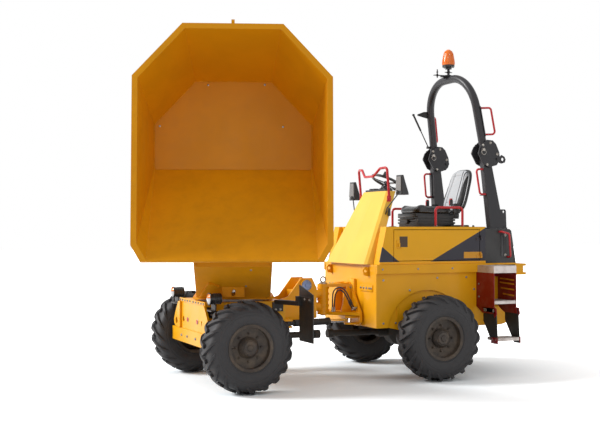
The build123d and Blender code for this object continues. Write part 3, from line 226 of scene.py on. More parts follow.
class Graph(Wiring):
    """A material round one principled shader, in object coordinates."""

    def __init__(self, name):
        super().__init__(bpy.data.materials.new(name))
        materials[name] = self.owner
        self.shader = self.add("ShaderNodeBsdfPrincipled")
        self.link(self.shader.outputs[0], self.add("ShaderNodeOutputMaterial").inputs["Surface"])
        self.coords = self.add("ShaderNodeTexCoord").outputs["Object"]

    def noise(self, scale, detail=4, rough=0.55, stretch=(1, 1, 1)):
        mapping = self.add("ShaderNodeMapping")
        mapping.inputs["Scale"].default_value = stretch
        self.link(self.coords, mapping.inputs["Vector"])
        node = self.add("ShaderNodeTexNoise")
        for name, value in (("Vector", mapping.outputs[0]), ("Scale", scale),
                            ("Detail", detail), ("Roughness", rough)):
            self.put(node.inputs[name], value)
        return node.outputs["Fac"]

    def place(self):
        separate = self.add("ShaderNodeSeparateXYZ")
        self.link(self.coords, separate.inputs[0])
        return separate.outputs

    def over(self, *terms, level):
        """1 where the sum of (factor, value) terms is above a level."""
        total = 0.0
        for factor, value in terms:
            total = self.math("ADD", self.times(value, factor), total)
        return self.math("GREATER_THAN", total, level)

    def edges(self, radius):
        """1 along outer edges, from how far a rounded normal leaves the flat one."""
        bevel = self.add("ShaderNodeBevel", samples=4)
        bevel.inputs["Radius"].default_value = radius
        geometry = self.add("ShaderNodeNewGeometry")
        dot = self.add("ShaderNodeVectorMath", operation="DOT_PRODUCT")
        self.link(bevel.outputs[0], dot.inputs[0])
        self.link(geometry.outputs["Normal"], dot.inputs[1])
        return self.ramp(dot.outputs["Value"], 0.999, 0.93)

    def bump(self, value, distance, strength, radius):
        """A fine relief over softened edges."""
        bevel = self.add("ShaderNodeBevel", samples=4)
        bump = self.add("ShaderNodeBump")
        for socket, given in ((bevel.inputs["Radius"], radius),
                              (bump.inputs["Strength"], strength),
                              (bump.inputs["Distance"], distance),
                              (bump.inputs["Height"], value),
                              (bump.inputs["Normal"], bevel.outputs[0]),
                              (self.shader.inputs["Normal"], bump.outputs[0])):
            self.put(socket, given)

    def set(self, **values):
        for key, value in values.items():
            self.put(self.shader.inputs[key.replace("_", " ")], value)


def paint(name, colour, rough=0.36, dirt=(0.30, 0.25, 0.20), dirt_top=0.9, dirt_amount=0.35,
          wear=None, wear_amount=0.0, coat=0.06, shine=0.3, pattern=None):
    """Enamel over steel: slight colour drift, dust low down, orange-peel bump, rubbed edges."""
    g = Graph(name)
    drift = g.ramp(g.noise(1.6, 3), 0.3, 0.7)
    base = g.mix(drift, colour, tuple(c * 0.86 for c in colour))
    if pattern:
        base = pattern(g, base)
    blotch = g.ramp(g.noise(9, 6, 0.65), 0.44, 0.72)
    low = g.ramp(g.place()["Z"], dirt_top, dirt_top - 0.75)
    dust = g.times(g.times(blotch, low), dirt_amount)
    base = g.mix(dust, base, dirt)
    if wear:
        chips = g.ramp(g.noise(38, 5, 0.7), 0.50, 0.62)
        rubbed = g.times(g.times(g.edges(0.006), chips), wear_amount)
        base = g.mix(rubbed, base, wear)
    streaks = g.ramp(g.noise(5, 5, 0.6, (1, 1, 0.25)), 0.35, 0.75)
    g.set(Base_Color=base, Coat_Weight=coat, Coat_Roughness=0.12, Specular_IOR_Level=shine,
          Roughness=g.math("ADD", g.times(streaks, 0.16), rough))
    g.bump(g.noise(220, 2), 0.0006, 0.25, 0.004)


def plastic(name, colour, rough=0.5, grain=450, dust=0.25, pattern=None):
    """Moulded plastic or rubber with a fine grain and pale dust in patches."""
    g = Graph(name)
    patches = g.ramp(g.noise(7, 6, 0.65), 0.45, 0.75)
    pale = tuple(min(1, c * 1.5 + 0.05) for c in colour)
    base = g.mix(g.times(patches, dust), colour, pale)
    if pattern:
        base = pattern(g, base)
    g.set(Base_Color=base, Roughness=g.math("ADD", g.times(patches, 0.2), rough))
    g.bump(g.noise(grain, 3), 0.0008, 0.35, 0.003)


def metal(name, colour, rough=0.35, stain=(0.12, 0.09, 0.07), stain_amount=0.4, metallic=1.0):
    """Bare metal with fine scratches and stained patches."""
    g = Graph(name)
    stains = g.ramp(g.noise(12, 6, 0.7), 0.48, 0.72)
    scratches = g.noise(160, 3, 0.6)
    base = g.mix(g.times(stains, stain_amount), colour, stain)
    g.set(Base_Color=base, Metallic=metallic,
          Roughness=g.math("ADD", g.times(scratches, 0.25), rough - 0.1))
    g.bump(scratches, 0.0004, 0.3, 0.003)


def engine_cover_pattern(g, base):
    """Black fields low on the sides, slanting off at both ends, and two plain plates."""
    place = g.place()
    x, z = place["X"], place["Z"]
    side = g.math("ABSOLUTE", place["Y"])
    flank = g.times(g.over((1.0, side), level=0.575), g.over((1.0, z), level=1.163))
    rear = g.over((-0.5169, x), (-1.0, z), level=-(1.169 - 0.5169 * 2.068))
    front = g.over((0.789, x), (-1.0, z), level=-(1.163 + 0.789 * 1.701))
    black = g.times(flank, g.math("MAXIMUM", rear, front))
    base = g.mix(black, base, rgb(36, 34, 44))
    for low, high, colour in (((-2.665, 1.192), (-2.452, 1.256), rgb(214, 150, 40)),
                              ((-1.794, 1.310), (-1.702, 1.416), rgb(70, 52, 34))):
        inside = g.times(flank, g.over((1.0, x), level=low[0]))
        for term, level in (((-1.0, x), -high[0]), ((1.0, z), low[1]), ((-1.0, z), -high[1])):
            inside = g.times(inside, g.over(term, level=level))
        base = g.mix(inside, base, colour)
    return base


def seat_pattern(g, base):
    """Black outer sides on a pale back, and dark sewn lines."""
    place = g.place()
    side = g.math("ABSOLUTE", place["Y"])
    spread_out = g.math("ADD", side, g.times(g.math("SUBTRACT", place["Z"], 1.7), 0.082))
    outer = g.over((1.0, side), (-0.0625, place["Z"]), level=0.130 - 0.0625 * 1.75)
    base = g.mix(outer, base, rgb(22, 22, 24))
    for middle in (0.102, 0.152):
        gap = g.math("ABSOLUTE", g.math("SUBTRACT", spread_out, middle))
        base = g.mix(g.ramp(gap, 0.0055, 0.003), base, rgb(60, 60, 64))
    return base


paint("yellow_paint", rgb(243, 172, 2), rough=0.36, dirt=rgb(150, 100, 20), dirt_amount=0.25,
      wear=rgb(150, 110, 60), wear_amount=0.35)
paint("skip_paint", rgb(226, 150, 1), rough=0.5, dirt=rgb(160, 100, 14), dirt_top=3.2,
      dirt_amount=0.18, wear=rgb(222, 170, 96), wear_amount=0.6, coat=0.0, shine=0.2)
paint("red_paint", rgb(196, 26, 36), dirt_amount=0.1, coat=0.3)
paint("crimson_paint", rgb(134, 4, 14), dirt_amount=0.25, dirt_top=1.3,
      wear=rgb(120, 70, 60), wear_amount=0.3)
paint("dark_paint", rgb(48, 44, 42), rough=0.45, dirt=rgb(110, 98, 84),
      wear=rgb(120, 110, 100), wear_amount=0.2)
paint("hoop_paint", rgb(44, 43, 46), rough=0.38, dirt_amount=0.1, dirt=rgb(120, 112, 100))
paint("black_paint", rgb(28, 27, 27), rough=0.4, dirt_amount=0.15)
metal("tread_plate", rgb(196, 188, 184), rough=0.5, stain=rgb(120, 100, 90),
      stain_amount=0.5, metallic=0.6)
paint("rim_paint", rgb(62, 54, 48), rough=0.5, dirt=rgb(120, 104, 86), dirt_amount=0.6,
      dirt_top=1.1, coat=0.05)
plastic("tyre_rubber", rgb(30, 28, 30), rough=0.62, grain=300, dust=0.5)
metal("cast_iron", rgb(60, 56, 52), rough=0.62, stain=rgb(40, 32, 26), stain_amount=0.7,
      metallic=0.4)
metal("engine_alloy", rgb(70, 68, 66), rough=0.6, stain=rgb(24, 20, 18), stain_amount=0.8,
      metallic=0.5)
metal("worn_steel", rgb(150, 146, 140), rough=0.42, stain=rgb(110, 80, 50), stain_amount=0.4)
metal("ram_chrome", rgb(215, 215, 218), rough=0.16, stain_amount=0.05)
plastic("black_plastic", rgb(28, 28, 30), rough=0.3, dust=0.15)
plastic("grey_plastic", rgb(20, 18, 18), rough=0.5, dust=0.1)
paint("cover_paint", rgb(246, 178, 6), rough=0.34, dirt=rgb(150, 100, 20), dirt_amount=0.25,
      wear=rgb(150, 110, 60), wear_amount=0.35, pattern=engine_cover_pattern)
# the console's yellow is paler than the body paint: its own yellow lightened by a painted highlight
# from the key light
paint("console_plastic", rgb(250, 204, 80), rough=0.3, dirt=rgb(170, 120, 50),
      wear=rgb(180, 130, 60), wear_amount=0.2)
plastic("seat_foam", rgb(26, 26, 28), rough=0.2, grain=700, dust=0.1)
plastic("seat_fabric", rgb(176, 179, 182), rough=0.6, grain=900, pattern=seat_pattern)
paint("liner_paint", rgb(214, 142, 34), rough=0.5, dirt=rgb(190, 128, 50), dirt_top=3.2,
      dirt_amount=0.3, wear=rgb(200, 160, 100), wear_amount=0.4, coat=0.0, shine=0.2)
plastic("hose_rubber", rgb(30, 30, 32), rough=0.5, grain=300, dust=0.3)
plastic("flap_rubber", rgb(20, 18, 17), rough=0.55, grain=120, dust=0.15)
plastic("beacon_amber", rgb(240, 120, 20), rough=0.12, dust=0.0)
plastic("lamp_glass", rgb(40, 40, 42), rough=0.3, dust=0.15)
metal("blued_steel", rgb(96, 104, 128), rough=0.3, stain_amount=0.2)
plastic("red_lens", rgb(190, 20, 16), rough=0.15, dust=0.0, grain=700)
plastic("clear_lens", rgb(196, 198, 200), rough=0.14, dust=0.05, grain=700)
plastic("amber_lens", rgb(226, 128, 30), rough=0.15, dust=0.0, grain=700)
plastic("amber_strip", rgb(214, 140, 20), rough=0.4, dust=0.1)
plastic("dial_face", rgb(150, 160, 170), rough=0.25, dust=0.0)
metal("mirror", rgb(200, 204, 210), rough=0.14, stain_amount=0.05)
plastic("grey_face", rgb(120, 118, 116), rough=0.5, dust=0.2)

for entry in frame["record"]["subparts"]:
    node = nodes[entry["node"]]
    node.data.materials.clear()
    covers = entry["node"] in ("seat_box", "side_door_left", "side_door_right")
    node.data.materials.append(materials["cover_paint" if covers else entry["material_slot"]])


# ---------------- mesh helpers
def around(count, offset=0.0):
    """Cosine and sine of even steps round a circle."""
    turns = [tau * (k + offset) / count for k in range(count)]
    return [(cos(turn), sin(turn)) for turn in turns]


def across(side, near, far):
    """The range of y between two distances from the middle, on one side, in rising order."""
    return sorted((side * near, side * far))


def new_piece(name, mesh, body, slot=None, material=None):
    """Link a mesh as a piece that rides on a body, with the finish of a slot."""
    piece = add_object(name, mesh)
    if not mesh.materials:
        mesh.materials.append(materials[material or slot])
    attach(piece, body)
    return piece


def smooth(mesh, angle=35):
    """Smooth shading, with edges sharper than the angle kept crisp."""
    for face in mesh.polygons:
        face.use_smooth = True
    mesh.set_sharp_from_angle(angle=radians(angle))


# ---------------- shapes
class Shape:
    """Parts gathered into one mesh."""

    def __init__(self):
        self.bm = bmesh.new()

    def point(self, place):
        return self.bm.verts.new(Vector(place))

    def skin(self, rings, loop=True, caps=True):
        """Quads between neighbouring rings of points, and a face over each end."""
        for low, high in zip(rings, rings[1:]):
            for k in range(len(low) - (not loop)):
                n = (k + 1) % len(low)
                self.bm.faces.new((low[k], low[n], high[n], high[k]))
        if caps:
            self.bm.faces.new(rings[0][::-1])
            self.bm.faces.new(rings[-1])

    def soften(self, verts, cut, segments=2):
        edges = list({edge for vert in verts for edge in vert.link_edges})
        bmesh.ops.bevel(self.bm, geom=edges, offset=cut, segments=segments, profile=0.6,
                        affect="EDGES", clamp_overlap=True)

    def lathe(self, at, axis, profile, steps=20):
        """A turned part: pairs of (distance along the axis, radius), closed at both ends."""
        at, axis = Vector(at), Vector(axis).normalized()
        one = axis.orthogonal().normalized()
        other = axis.cross(one)
        self.skin([[self.point(at + axis * along + (one * c + other * s) * radius)
                    for c, s in around(steps)] for along, radius in profile])

    def bolt(self, at, axis, size=0.011):
        """Washer and a hexagon head with a turned-down top; size is half the head's width."""
        self.lathe(at, axis, [(-0.001, size * 1.35), (size * 0.22, size * 1.35),
                              (size * 0.3, size * 1.2)])
        self.lathe(at, axis, [(size * 0.25, size), (size, size), (size * 1.15, size * 0.8)], 6)

    def bolts(self, places, axis, size):
        for place in places:
            self.bolt(place, axis, size)

    def bolt_circle(self, at, axis, radius, count, size):
        """Bolts round a circle that starts ahead of its middle."""
        at, one, other = Vector(at), Vector((1, 0, 0)), Vector((1, 0, 0)).cross(Vector(axis))
        self.bolts([at + (one * c + other * s) * radius for c, s in around(count)], axis, size)

    def slab(self, x, y, z, cut=0.002):
        """A block with rounded edges between ranges of x, y and z."""
        made = bmesh.ops.create_cube(self.bm, size=1)["verts"]
        for vert in made:
            vert.co = [ends[value > 0] for ends, value in zip((x, y, z), vert.co)]
        self.soften(made, cut)

    def plate(self, outline, depth, cut=0.0015):
        """A plate from a flat outline, pushed along a vector, with softened edges."""
        foot = [self.point(p) for p in outline]
        top = [self.point(Vector(p) + Vector(depth)) for p in outline]
        self.skin([foot, top])
        self.soften(foot + top, cut)

    def eye_plate(self, outline, hole, radius, depth, steps=48):
        """A plate with a round hole; every corner is seen from the hole's middle."""
        hole, depth = Vector(hole), Vector(depth)
        normal = depth.normalized()
        one = normal.orthogonal().normalized()
        other = normal.cross(one)
        flat = [((Vector(p) - hole).dot(one), (Vector(p) - hole).dot(other)) for p in outline]
        turns = sorted({round(atan2(b, a) % tau, 6) for a, b in flat}
                       | {round(tau * k / steps, 6) for k in range(steps)})
        rings = [[], [], [], []]
        for turn in turns:
            dx, dy = cos(turn), sin(turn)
            reach = 0
            for (ax, ay), (bx, by) in zip(flat, flat[1:] + flat[:1]):
                ex, ey = bx - ax, by - ay
                det = dx * ey - dy * ex
                if abs(det) < 1e-12:
                    continue
                t = (ax * ey - ay * ex) / det
                s = (ax * dy - ay * dx) / det
                if t > 0 and -1e-6 <= s <= 1 + 1e-6:
                    reach = max(reach, t)
            way = one * dx + other * dy
            for ring, spot in zip(rings, (hole + way * reach, hole + way * reach + depth,
                                          hole + way * radius + depth, hole + way * radius)):
                ring.append(self.point(spot))
        self.skin(rings + rings[:1], caps=False)

    def tube(self, points, radius, steps=10):
        """A round bar along points, carried along without twist."""
        points = [Vector(p) for p in points]
        ways = [((points[min(i + 1, len(points) - 1)] - points[max(i - 1, 0)]).normalized())
                for i in range(len(points))]
        one = ways[0].orthogonal().normalized()
        rings = []
        for spot, way in zip(points, ways):
            one = (one - way * one.dot(way)).normalized()
            other = way.cross(one)
            rings.append([self.point(spot + (one * c + other * s) * radius)
                          for c, s in around(steps)])
        self.skin(rings)

    def mesh(self, name):
        bmesh.ops.recalc_face_normals(self.bm, faces=self.bm.faces)
        mesh = bpy.data.meshes.new(name)
        self.bm.to_mesh(mesh)
        self.bm.free()
        return mesh

    def finish(self, name, body, slot, angle=35, material=None):
        mesh = self.mesh(name)
        smooth(mesh, angle)
        return new_piece(name, mesh, body, slot, material)


def rounded(points, per=6):
    """A smooth line through points."""
    points = [Vector(p) for p in points]
    line = []
    for i in range(len(points) - 1):
        a, b = points[i], points[i + 1]
        before = points[i - 1] if i else a * 2 - b
        after = points[i + 2] if i + 2 < len(points) else b * 2 - a
        for k in range(per):
            t = k / per
            line.append(0.5 * ((2 * a) + (b - before) * t
                               + (2 * before - 5 * a + 4 * b - after) * t * t
                               + (3 * a - before - 3 * b + after) * t ** 3))
    return line + [points[-1]]


UP, DOWN = (0, 0, 1), (0, 0, -1)
AHEAD, BACK = (1, 0, 0), (-1, 0, 0)
LEFT = (0, 1, 0)

# ---------------- tyres
LUGS, STATIONS, STEPS = 19, 9, 96
LUG_R, LUG_Y, TREAD_R = 0.4221, 0.1446, 0.40  # the lugs stay inside the first two
# (distance from the wheel's middle, radius), from the bead to the crown
CARCASS = [(0.1135, 0.197), (0.118, 0.218), (0.130, 0.243), (0.1395, 0.275), (0.143, 0.305),
           (0.1415, 0.330), (0.136, 0.352), (0.126, 0.370), (0.108, 0.384), (0.080, 0.392),
           (0.040, 0.3955), (0.0, 0.396)]
LUG_PATH = CARCASS[:5:-1] + [(0.1405, 0.335)]


def carcass_point(share, turn, lift):
    """A point over the tyre: share runs from 0 at the crown to 1 at the wall, either side."""
    place = abs(share) * (len(LUG_PATH) - 1)
    i = min(int(place), len(LUG_PATH) - 2)
    t = place - i
    (y0, r0), (y1, r1) = LUG_PATH[i], LUG_PATH[i + 1]
    dy, dr = y1 - y0, r1 - r0
    length = hypot(dy, dr)
    y = y0 * (1 - t) + y1 * t - dr / length * lift
    r = r0 * (1 - t) + r1 * t + dy / length * lift
    return Vector((r * cos(turn), y if share >= 0 else -y, r * sin(turn)))


def make_tyre(corner, centre, side):
    """Carcass with ribbed sidewalls, and curved lugs in two rows that meet near the crown."""
    tyre = Shape()
    place = Matrix.Translation(centre) @ Matrix.Rotation(0.11 * len(corner), 4, "Y")
    if side < 0:
        place = place @ Matrix.Rotation(pi, 4, "Z")
    profile = CARCASS + [(-y, r) for y, r in CARCASS[-2::-1]]
    rings = [[tyre.point(place @ Vector((r * c, y, r * s))) for y, r in profile]
             for c, s in around(STEPS)]
    tyre.skin(rings + rings[:1], loop=False, caps=False)
    # raised ribs round each sidewall
    for wall in SIDES:
        for radius, y, size in ((0.226, 0.1235, 0.005), (0.300, 0.1425, 0.0035),
                                (0.322, 0.1420, 0.003)):
            rings = [[tyre.point(place @ Vector(((radius + size * a) * c,
                                                 wall * (y + size * 0.6 * b),
                                                 (radius + size * a) * s)))
                      for a, b in around(6)] for c, s in around(STEPS)]
            tyre.skin(rings + rings[:1], caps=False)
    # lugs: a bar from just past the crown, sweeping back round the shoulder
    for row in SIDES:
        for k in range(LUGS):
            start = tau * (k + (0.5 if row < 0 else 0)) / LUGS
            rings = []
            for i in range(STATIONS):
                s = i / (STATIONS - 1)
                share = row * (-0.10 + 1.02 * s)
                turn = start + 0.34 * s ** 1.25
                width = (0.046 - 0.008 * s) / TREAD_R
                lift = max(0.0262 * (1 - max(0, s - 0.62) * 1.9), 0.004)
                feet = [carcass_point(share, turn + edge * width / 2, -0.004) for edge in (-1, 1)]
                tops = [carcass_point(share, turn + edge * width * 0.36, lift) for edge in (-1, 1)]
                for top in tops:
                    shrink = min(1, LUG_R / hypot(top.x, top.z))
                    top.x, top.z = top.x * shrink, top.z * shrink
                    top.y = max(-LUG_Y, min(LUG_Y, top.y))
                rings.append([tyre.point(place @ spot)
                              for spot in (feet[0], tops[0], tops[1], feet[1])])
            tyre.skin(rings, loop=False, caps=False)
            tyre.bm.faces.new(rings[0][:1] + rings[0][:0:-1])
            tyre.bm.faces.new(rings[-1])
    piece = tyre.finish(f"tyre_{corner}_tread", f"wheel_{corner}", "tyre_rubber", 40)
    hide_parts(f"tyre_{corner}")


for corner, side in CORNERS:
    low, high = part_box(f"tyre_{corner}")
    make_tyre(corner, (low + high) / 2, side)

# ---------------- front chassis fittings
FRONT_X, SWIVEL_X = 0.250, -0.172
apron = Shape()
apron.slab((FRONT_X - 0.012, FRONT_X + 0.012), (-0.632, 0.632), (0.372, 0.508), 0.003)
for side in SIDES:
    apron.eye_plate([(FRONT_X, side * y, z) for y, z in
                     ((0.352, 0.775), (0.405, 0.770), (0.500, 0.660), (0.545, 0.585),
                      (0.540, 0.545), (0.505, 0.520), (0.400, 0.512), (0.352, 0.512))],
                    (FRONT_X, side * 0.457, 0.574), 0.034, (0.022, 0, 0))
apron.plate([(FRONT_X, -0.391, 0.808), (FRONT_X, 0.391, 0.808), (FRONT_X, 0.391, 0.770),
             (FRONT_X, -0.391, 0.770)], (0.010, 0, 0), 0.002)
apron.finish("front_apron", FRONT, "yellow_paint")

steel = Shape()
for side in SIDES:
    steel.bolts([(FRONT_X + 0.010, side * y, 0.789) for y in (0.05, 0.13, 0.21, 0.29, 0.36)],
                AHEAD, 0.009)
    steel.bolts([(FRONT_X + 0.012, side * y, 0.440) for y in (0.13, 0.31)], AHEAD, 0.011)
    steel.bolts([(-0.580, side * y, 0.838) for y in (0.69, 0.80, 0.91)], AHEAD, 0.009)
    steel.bolts([(0.195, side * 0.4015, 0.69), (0.195, side * 0.4015, 0.73),
                 (-0.500, side * 0.4035, 0.720), (-0.450, side * 0.4035, 0.720)],
                (0, side, 0), 0.009)
    steel.bolt_circle((-0.890, side * 0.152, 0.928), (0, side, 0), 0.043, 6, 0.006)
steel.bolt_circle((SWIVEL_X, 0, 0.8235), UP, 0.332, 24, 0.0085)
steel.finish("front_bolts", FRONT, "worn_steel")

discs = Shape()
for side in SIDES:
    discs.lathe((-0.890, side * 0.150, 0.928), (0, side, 0),
                [(0, 0.054), (0.004, 0.054), (0.006, 0.050), (0.006, 0.020), (0.010, 0.016)], 36)
discs.finish("tower_discs", FRONT, "worn_steel", material="blued_steel")

rims, lenses = Shape(), Shape()
for side in SIDES:
    rims.lathe((FRONT_X - 0.001, side * 0.149, 0.604), AHEAD,
               [(0, 0.024), (0.004, 0.024), (0.006, 0.021)], 28)
    lenses.lathe((FRONT_X + 0.004, side * 0.149, 0.604), AHEAD,
                 [(0, 0.0205), (0.003, 0.0205), (0.005, 0.016), (0.006, 0.006)], 28)
rims.finish("reflector_rims", FRONT, "worn_steel")
lenses.finish("reflectors", FRONT, "red_paint", material="red_lens")

# headlamps: a clear lower lens, an amber upper one and a rubber rim
clear, amber, rims = Shape(), Shape(), Shape()
LAMP_X, LAMP_Y, LAMP_Z, LAMP_R = 0.277, 0.571, 0.850, 0.050
ROWS, COLUMNS = 7, 14
for side in SIDES:
    y = side * LAMP_Y
    for shape, low, high in ((clear, -1, 0.15), (amber, 0.19, 1)):
        front = []
        for i in range(ROWS + 1):
            level = low + (high - low) * i / ROWS
            half = sqrt(max(0.0, 1 - level * level)) * 0.985 + 0.012
            row = []
            for j in range(COLUMNS + 1):
                s = -1 + 2 * j / COLUMNS
                out = 0.020 * max(0.0, 1 - (level * level + (s * half) ** 2) * 0.94)
                rib = 0.0012 * (j % 2)
                row.append(Vector((LAMP_X + out + rib, y + s * half * LAMP_R,
                                   LAMP_Z + level * LAMP_R)))
            front.append(row)
        face = [[shape.point(p) for p in row] for row in front]
        rear = [[shape.point((LAMP_X - 0.006, p.y, p.z)) for p in row] for row in front]
        # each row's points, there on the face and back on the rear, make a closed ring
        shape.skin([there + back[::-1] for there, back in zip(face, rear)], caps=False)
        for end in (0, ROWS):
            shape.skin([face[end], rear[end]], loop=False, caps=False)
    rims.tube([(LAMP_X + 0.001, y + 0.0535 * c, LAMP_Z + 0.0535 * s)
               for c, s in around(40) + [(1, 0)]], 0.0045, 8)
    for x in (0.185, 0.205, 0.225):
        rims.lathe((x, y, LAMP_Z), AHEAD, [(0, 0.0505), (0.004, 0.053), (0.009, 0.0505)], 32)
clear.finish("lamp_lenses", FRONT, "lamp_glass", material="clear_lens")
amber.finish("lamp_indicators", FRONT, "lamp_glass", material="amber_lens")
rims.finish("lamp_rims", FRONT, "flap_rubber")

# ---------------- pivot yoke: hose fittings
fittings = Shape()
for x, y, z, way, reach in ((-1.400, 0.244, 0.694, AHEAD, 0.040),
                            (-1.400, 0.214, 0.676, AHEAD, 0.040),
                            (-1.200, 0.098, 0.652, UP, 0.044), (-1.230, 0.082, 0.652, UP, 0.044)):
    fittings.lathe((x, y, z), way, [(0, 0.0125), (0.014, 0.0125), (0.015, 0.011)], 6)
    fittings.lathe((x, y, z), way, [(0.014, 0.0095), (reach, 0.0095), (reach + 0.002, 0.0082)])
fittings.finish("hose_fittings", "pivot_yoke", "worn_steel")

# ---------------- rear body fittings
BODY_X, BODY_Y = -1.442, 0.590
ARCH_X, ARCH_Z, ARCH_R = -2.015, 0.4225, 0.456
ARCH_TURNS = [radians(a) for a in range(12, 169, 4)]
# (radius, how far out) over the pressed panel inside the arch
DISHED = [(0.150, 0.006), (0.300, 0.006), (0.380, 0.006), (0.400, 0.0), (0.4585, 0.0)]
body = Shape()


def arch(y, r):
    """Points along the wheel arch at one radius."""
    return [body.point((ARCH_X + r * cos(turn), y, ARCH_Z + r * sin(turn)))
            for turn in ARCH_TURNS]


# vertical boss and small hard points on the front wall
body.slab((BODY_X - 0.002, BODY_X + 0.030), (0.062, 0.158), (0.800, 0.985), 0.012)
body.slab((BODY_X - 0.002, BODY_X + 0.010), (0.255, 0.520), (0.868, 0.935), 0.004)
body.lathe((BODY_X, 0.104, 0.896), AHEAD, [(0.026, 0.034), (0.036, 0.034), (0.040, 0.030)], 28)
for side in SIDES:
    # wheel arch lining: a rolled strip behind the edge, and a pressed panel inside it
    strip = [arch(side * y, ARCH_R + lift) for y, lift in
             ((0.560, 0), (0.5795, 0), (0.5795, 0.006), (0.560, 0.006))]
    body.skin(list(zip(*strip)))
    outer = [arch(side * (0.5695 + dish), r) for r, dish in DISHED]
    inner = [arch(side * (0.5665 + dish), r) for r, dish in DISHED]
    body.skin(list(zip(*outer, *inner[::-1])), caps=False)
    for end in (0, -1):
        body.skin([[ring[end] for ring in outer], [ring[end] for ring in inner]], loop=False,
                  caps=False)
body.finish("body_fittings", REAR, "yellow_paint", 30)

bolts = Shape()
bolts.bolt((BODY_X + 0.040, 0.104, 0.896), AHEAD, 0.017)
bolts.bolts([(BODY_X + 0.010, y, 0.902) for y in (0.280, 0.340, 0.400, 0.460, 0.500)]
            + [(BODY_X, y, 0.909) for y in (-0.393, -0.468, -0.30, -0.22)], AHEAD, 0.009)
for side in SIDES:
    out = (0, side, 0)
    bolts.bolts([(x, side * BODY_Y, z) for x, z in
                 ((-1.817, 0.880), (-2.573, 0.875), (-2.136, 0.999), (-1.52, 0.985),
                  (-2.48, 0.999), (-1.52, 0.56), (-1.66, 0.56))], out, 0.0085)
    bolts.bolts([(x, side * 0.614, 1.093) for x in (-1.50, -1.90, -2.30, -2.70)], out, 0.0075)
    # ends of the side handles, seat guards and the steps
    bolts.bolts([(-2.953, side * 0.5945, z) for z in (1.427, 1.222)], out, 0.011)
    bolts.bolts([(x, side * 0.455 + dy, 1.518) for x in (-2.2, -2.522) for dy in (-0.024, 0.024)],
                UP, 0.007)
    bolts.bolts([(-2.600, side * y, z) for y in (0.735, 0.765, 0.895) for z in (0.665, 0.680)]
                + [(-2.604, side * y, 0.387) for y in (0.875, 0.935)], AHEAD, 0.007)
    bolts.bolts([(-2.600, side * 0.640, z) for z in (0.930, 0.800)], AHEAD, 0.008)
    bolts.bolts([(-3.115, side * y, z) for y in (0.07, 0.10) for z in (0.745, 0.835)], BACK, 0.012)
bolts.finish("body_bolts", REAR, "worn_steel")

dark = Shape()
for side in SIDES:
    # rubbing pad behind the side handle, foot plates under the seat guards
    dark.slab((-2.945, -2.905), (side * 0.5895, side * 0.5955), (1.205, 1.450), 0.004)
    for x in (-2.2, -2.522):
        dark.slab((x - 0.030, x + 0.030), (side * 0.455 - 0.034, side * 0.455 + 0.034),
                  (1.513, 1.5185), 0.003)
    # hand strips along the posts, inside the loops
    dark.slab((-2.760, -2.700), (side * 0.505, side * 0.545), (1.835, 1.842), 0.002)
for y in (-0.30, 0.10):
    dark.slab((-2.700, -2.480), (y, y + 0.20), (1.513, 1.532), 0.005)
for k in range(9):
    dark.lathe((-2.690, -0.40 + 0.1 * k, 1.5135), UP,
               [(0, 0.012), (0.012, 0.012), (0.016, 0.007)], 16)
dark.finish("body_trim", REAR, "black_plastic")

# crimson reinforcements at the steps' lower ends, and amber strips on the rear riser
brackets = Shape()
for side in SIDES:
    for x in ((-2.612, -2.600), (-2.886, -2.874)):
        brackets.plate([(x[0], side * y, z) for y, z in
                        ((0.700, 0.700), (0.930, 0.700), (0.945, 0.640), (0.905, 0.600),
                         (0.900, 0.655), (0.730, 0.655))], (x[1] - x[0], 0, 0), 0.0015)
        brackets.slab(x, across(side, 0.850, 0.955), (0.345, 0.408))
brackets.finish("step_brackets", REAR, "crimson_paint")
strips = Shape()
for side in SIDES:
    for y0, z in ((0.632, 0.990), (0.632, 0.949), (0.650, 0.893), (0.685, 0.834)):
        strips.plate([(-2.862, side * y0, z), (-2.862, side * 0.880, z - 0.010),
                      (-2.862, side * 0.880, z - 0.025), (-2.862, side * y0, z - 0.015)],
                     (0.003, 0, 0), 0.001)
strips.finish("step_strips", REAR, "yellow_paint", material="amber_strip")

# raised tread pattern on the steps and the footwell floor
tread = Shape()


def tread_field(x, y, z, pitch=0.030):
    """Lozenges leaning either way, in rows, on a walking surface."""
    columns, rows = int((x[1] - x[0]) / pitch), int((y[1] - y[0]) / pitch)
    for i in range(columns):
        for j in range(rows):
            cx = x[0] + (x[1] - x[0]) * (i + 0.5) / columns
            cy = y[0] + (y[1] - y[0]) * (j + 0.5) / rows
            turn = radians(45 if (i + j) % 2 else -45)
            along = Vector((cos(turn), sin(turn), 0)) * 0.0125
            wide = Vector((-sin(turn), cos(turn), 0)) * 0.0032
            tread.skin([[tread.point(Vector((cx, cy, z + rise)) + v * scale)
                         for v in (along, wide, -along, -wide)]
                        for rise, scale in ((-0.0005, 1), (0.0016, 0.55))])


for side in SIDES:
    for x, y, z in (((-2.862, -2.608), (0.622, 0.898), 1.120),
                    ((-2.855, -2.615), (0.600, 0.898), 0.768),
                    ((-2.862, -2.627), (0.768, 0.942), 0.402)):
        tread_field(x, across(side, *y), z)
        # toothed edge facing out
        for k in range(11):
            cx = x[0] + (x[1] - x[0]) * (k + 0.5) / 11
            edge = 0.905 if z > 0.5 else 0.950
            tread.slab((cx - 0.0075, cx + 0.0075), across(side, edge - 0.02, edge + 0.004),
                       (z - 0.004, z + 0.004), 0.001)
tread_field((-2.030, -1.570), (-0.410, 0.410), 1.138, 0.038)
tread.finish("tread_pattern", REAR, "tread_plate", 20)

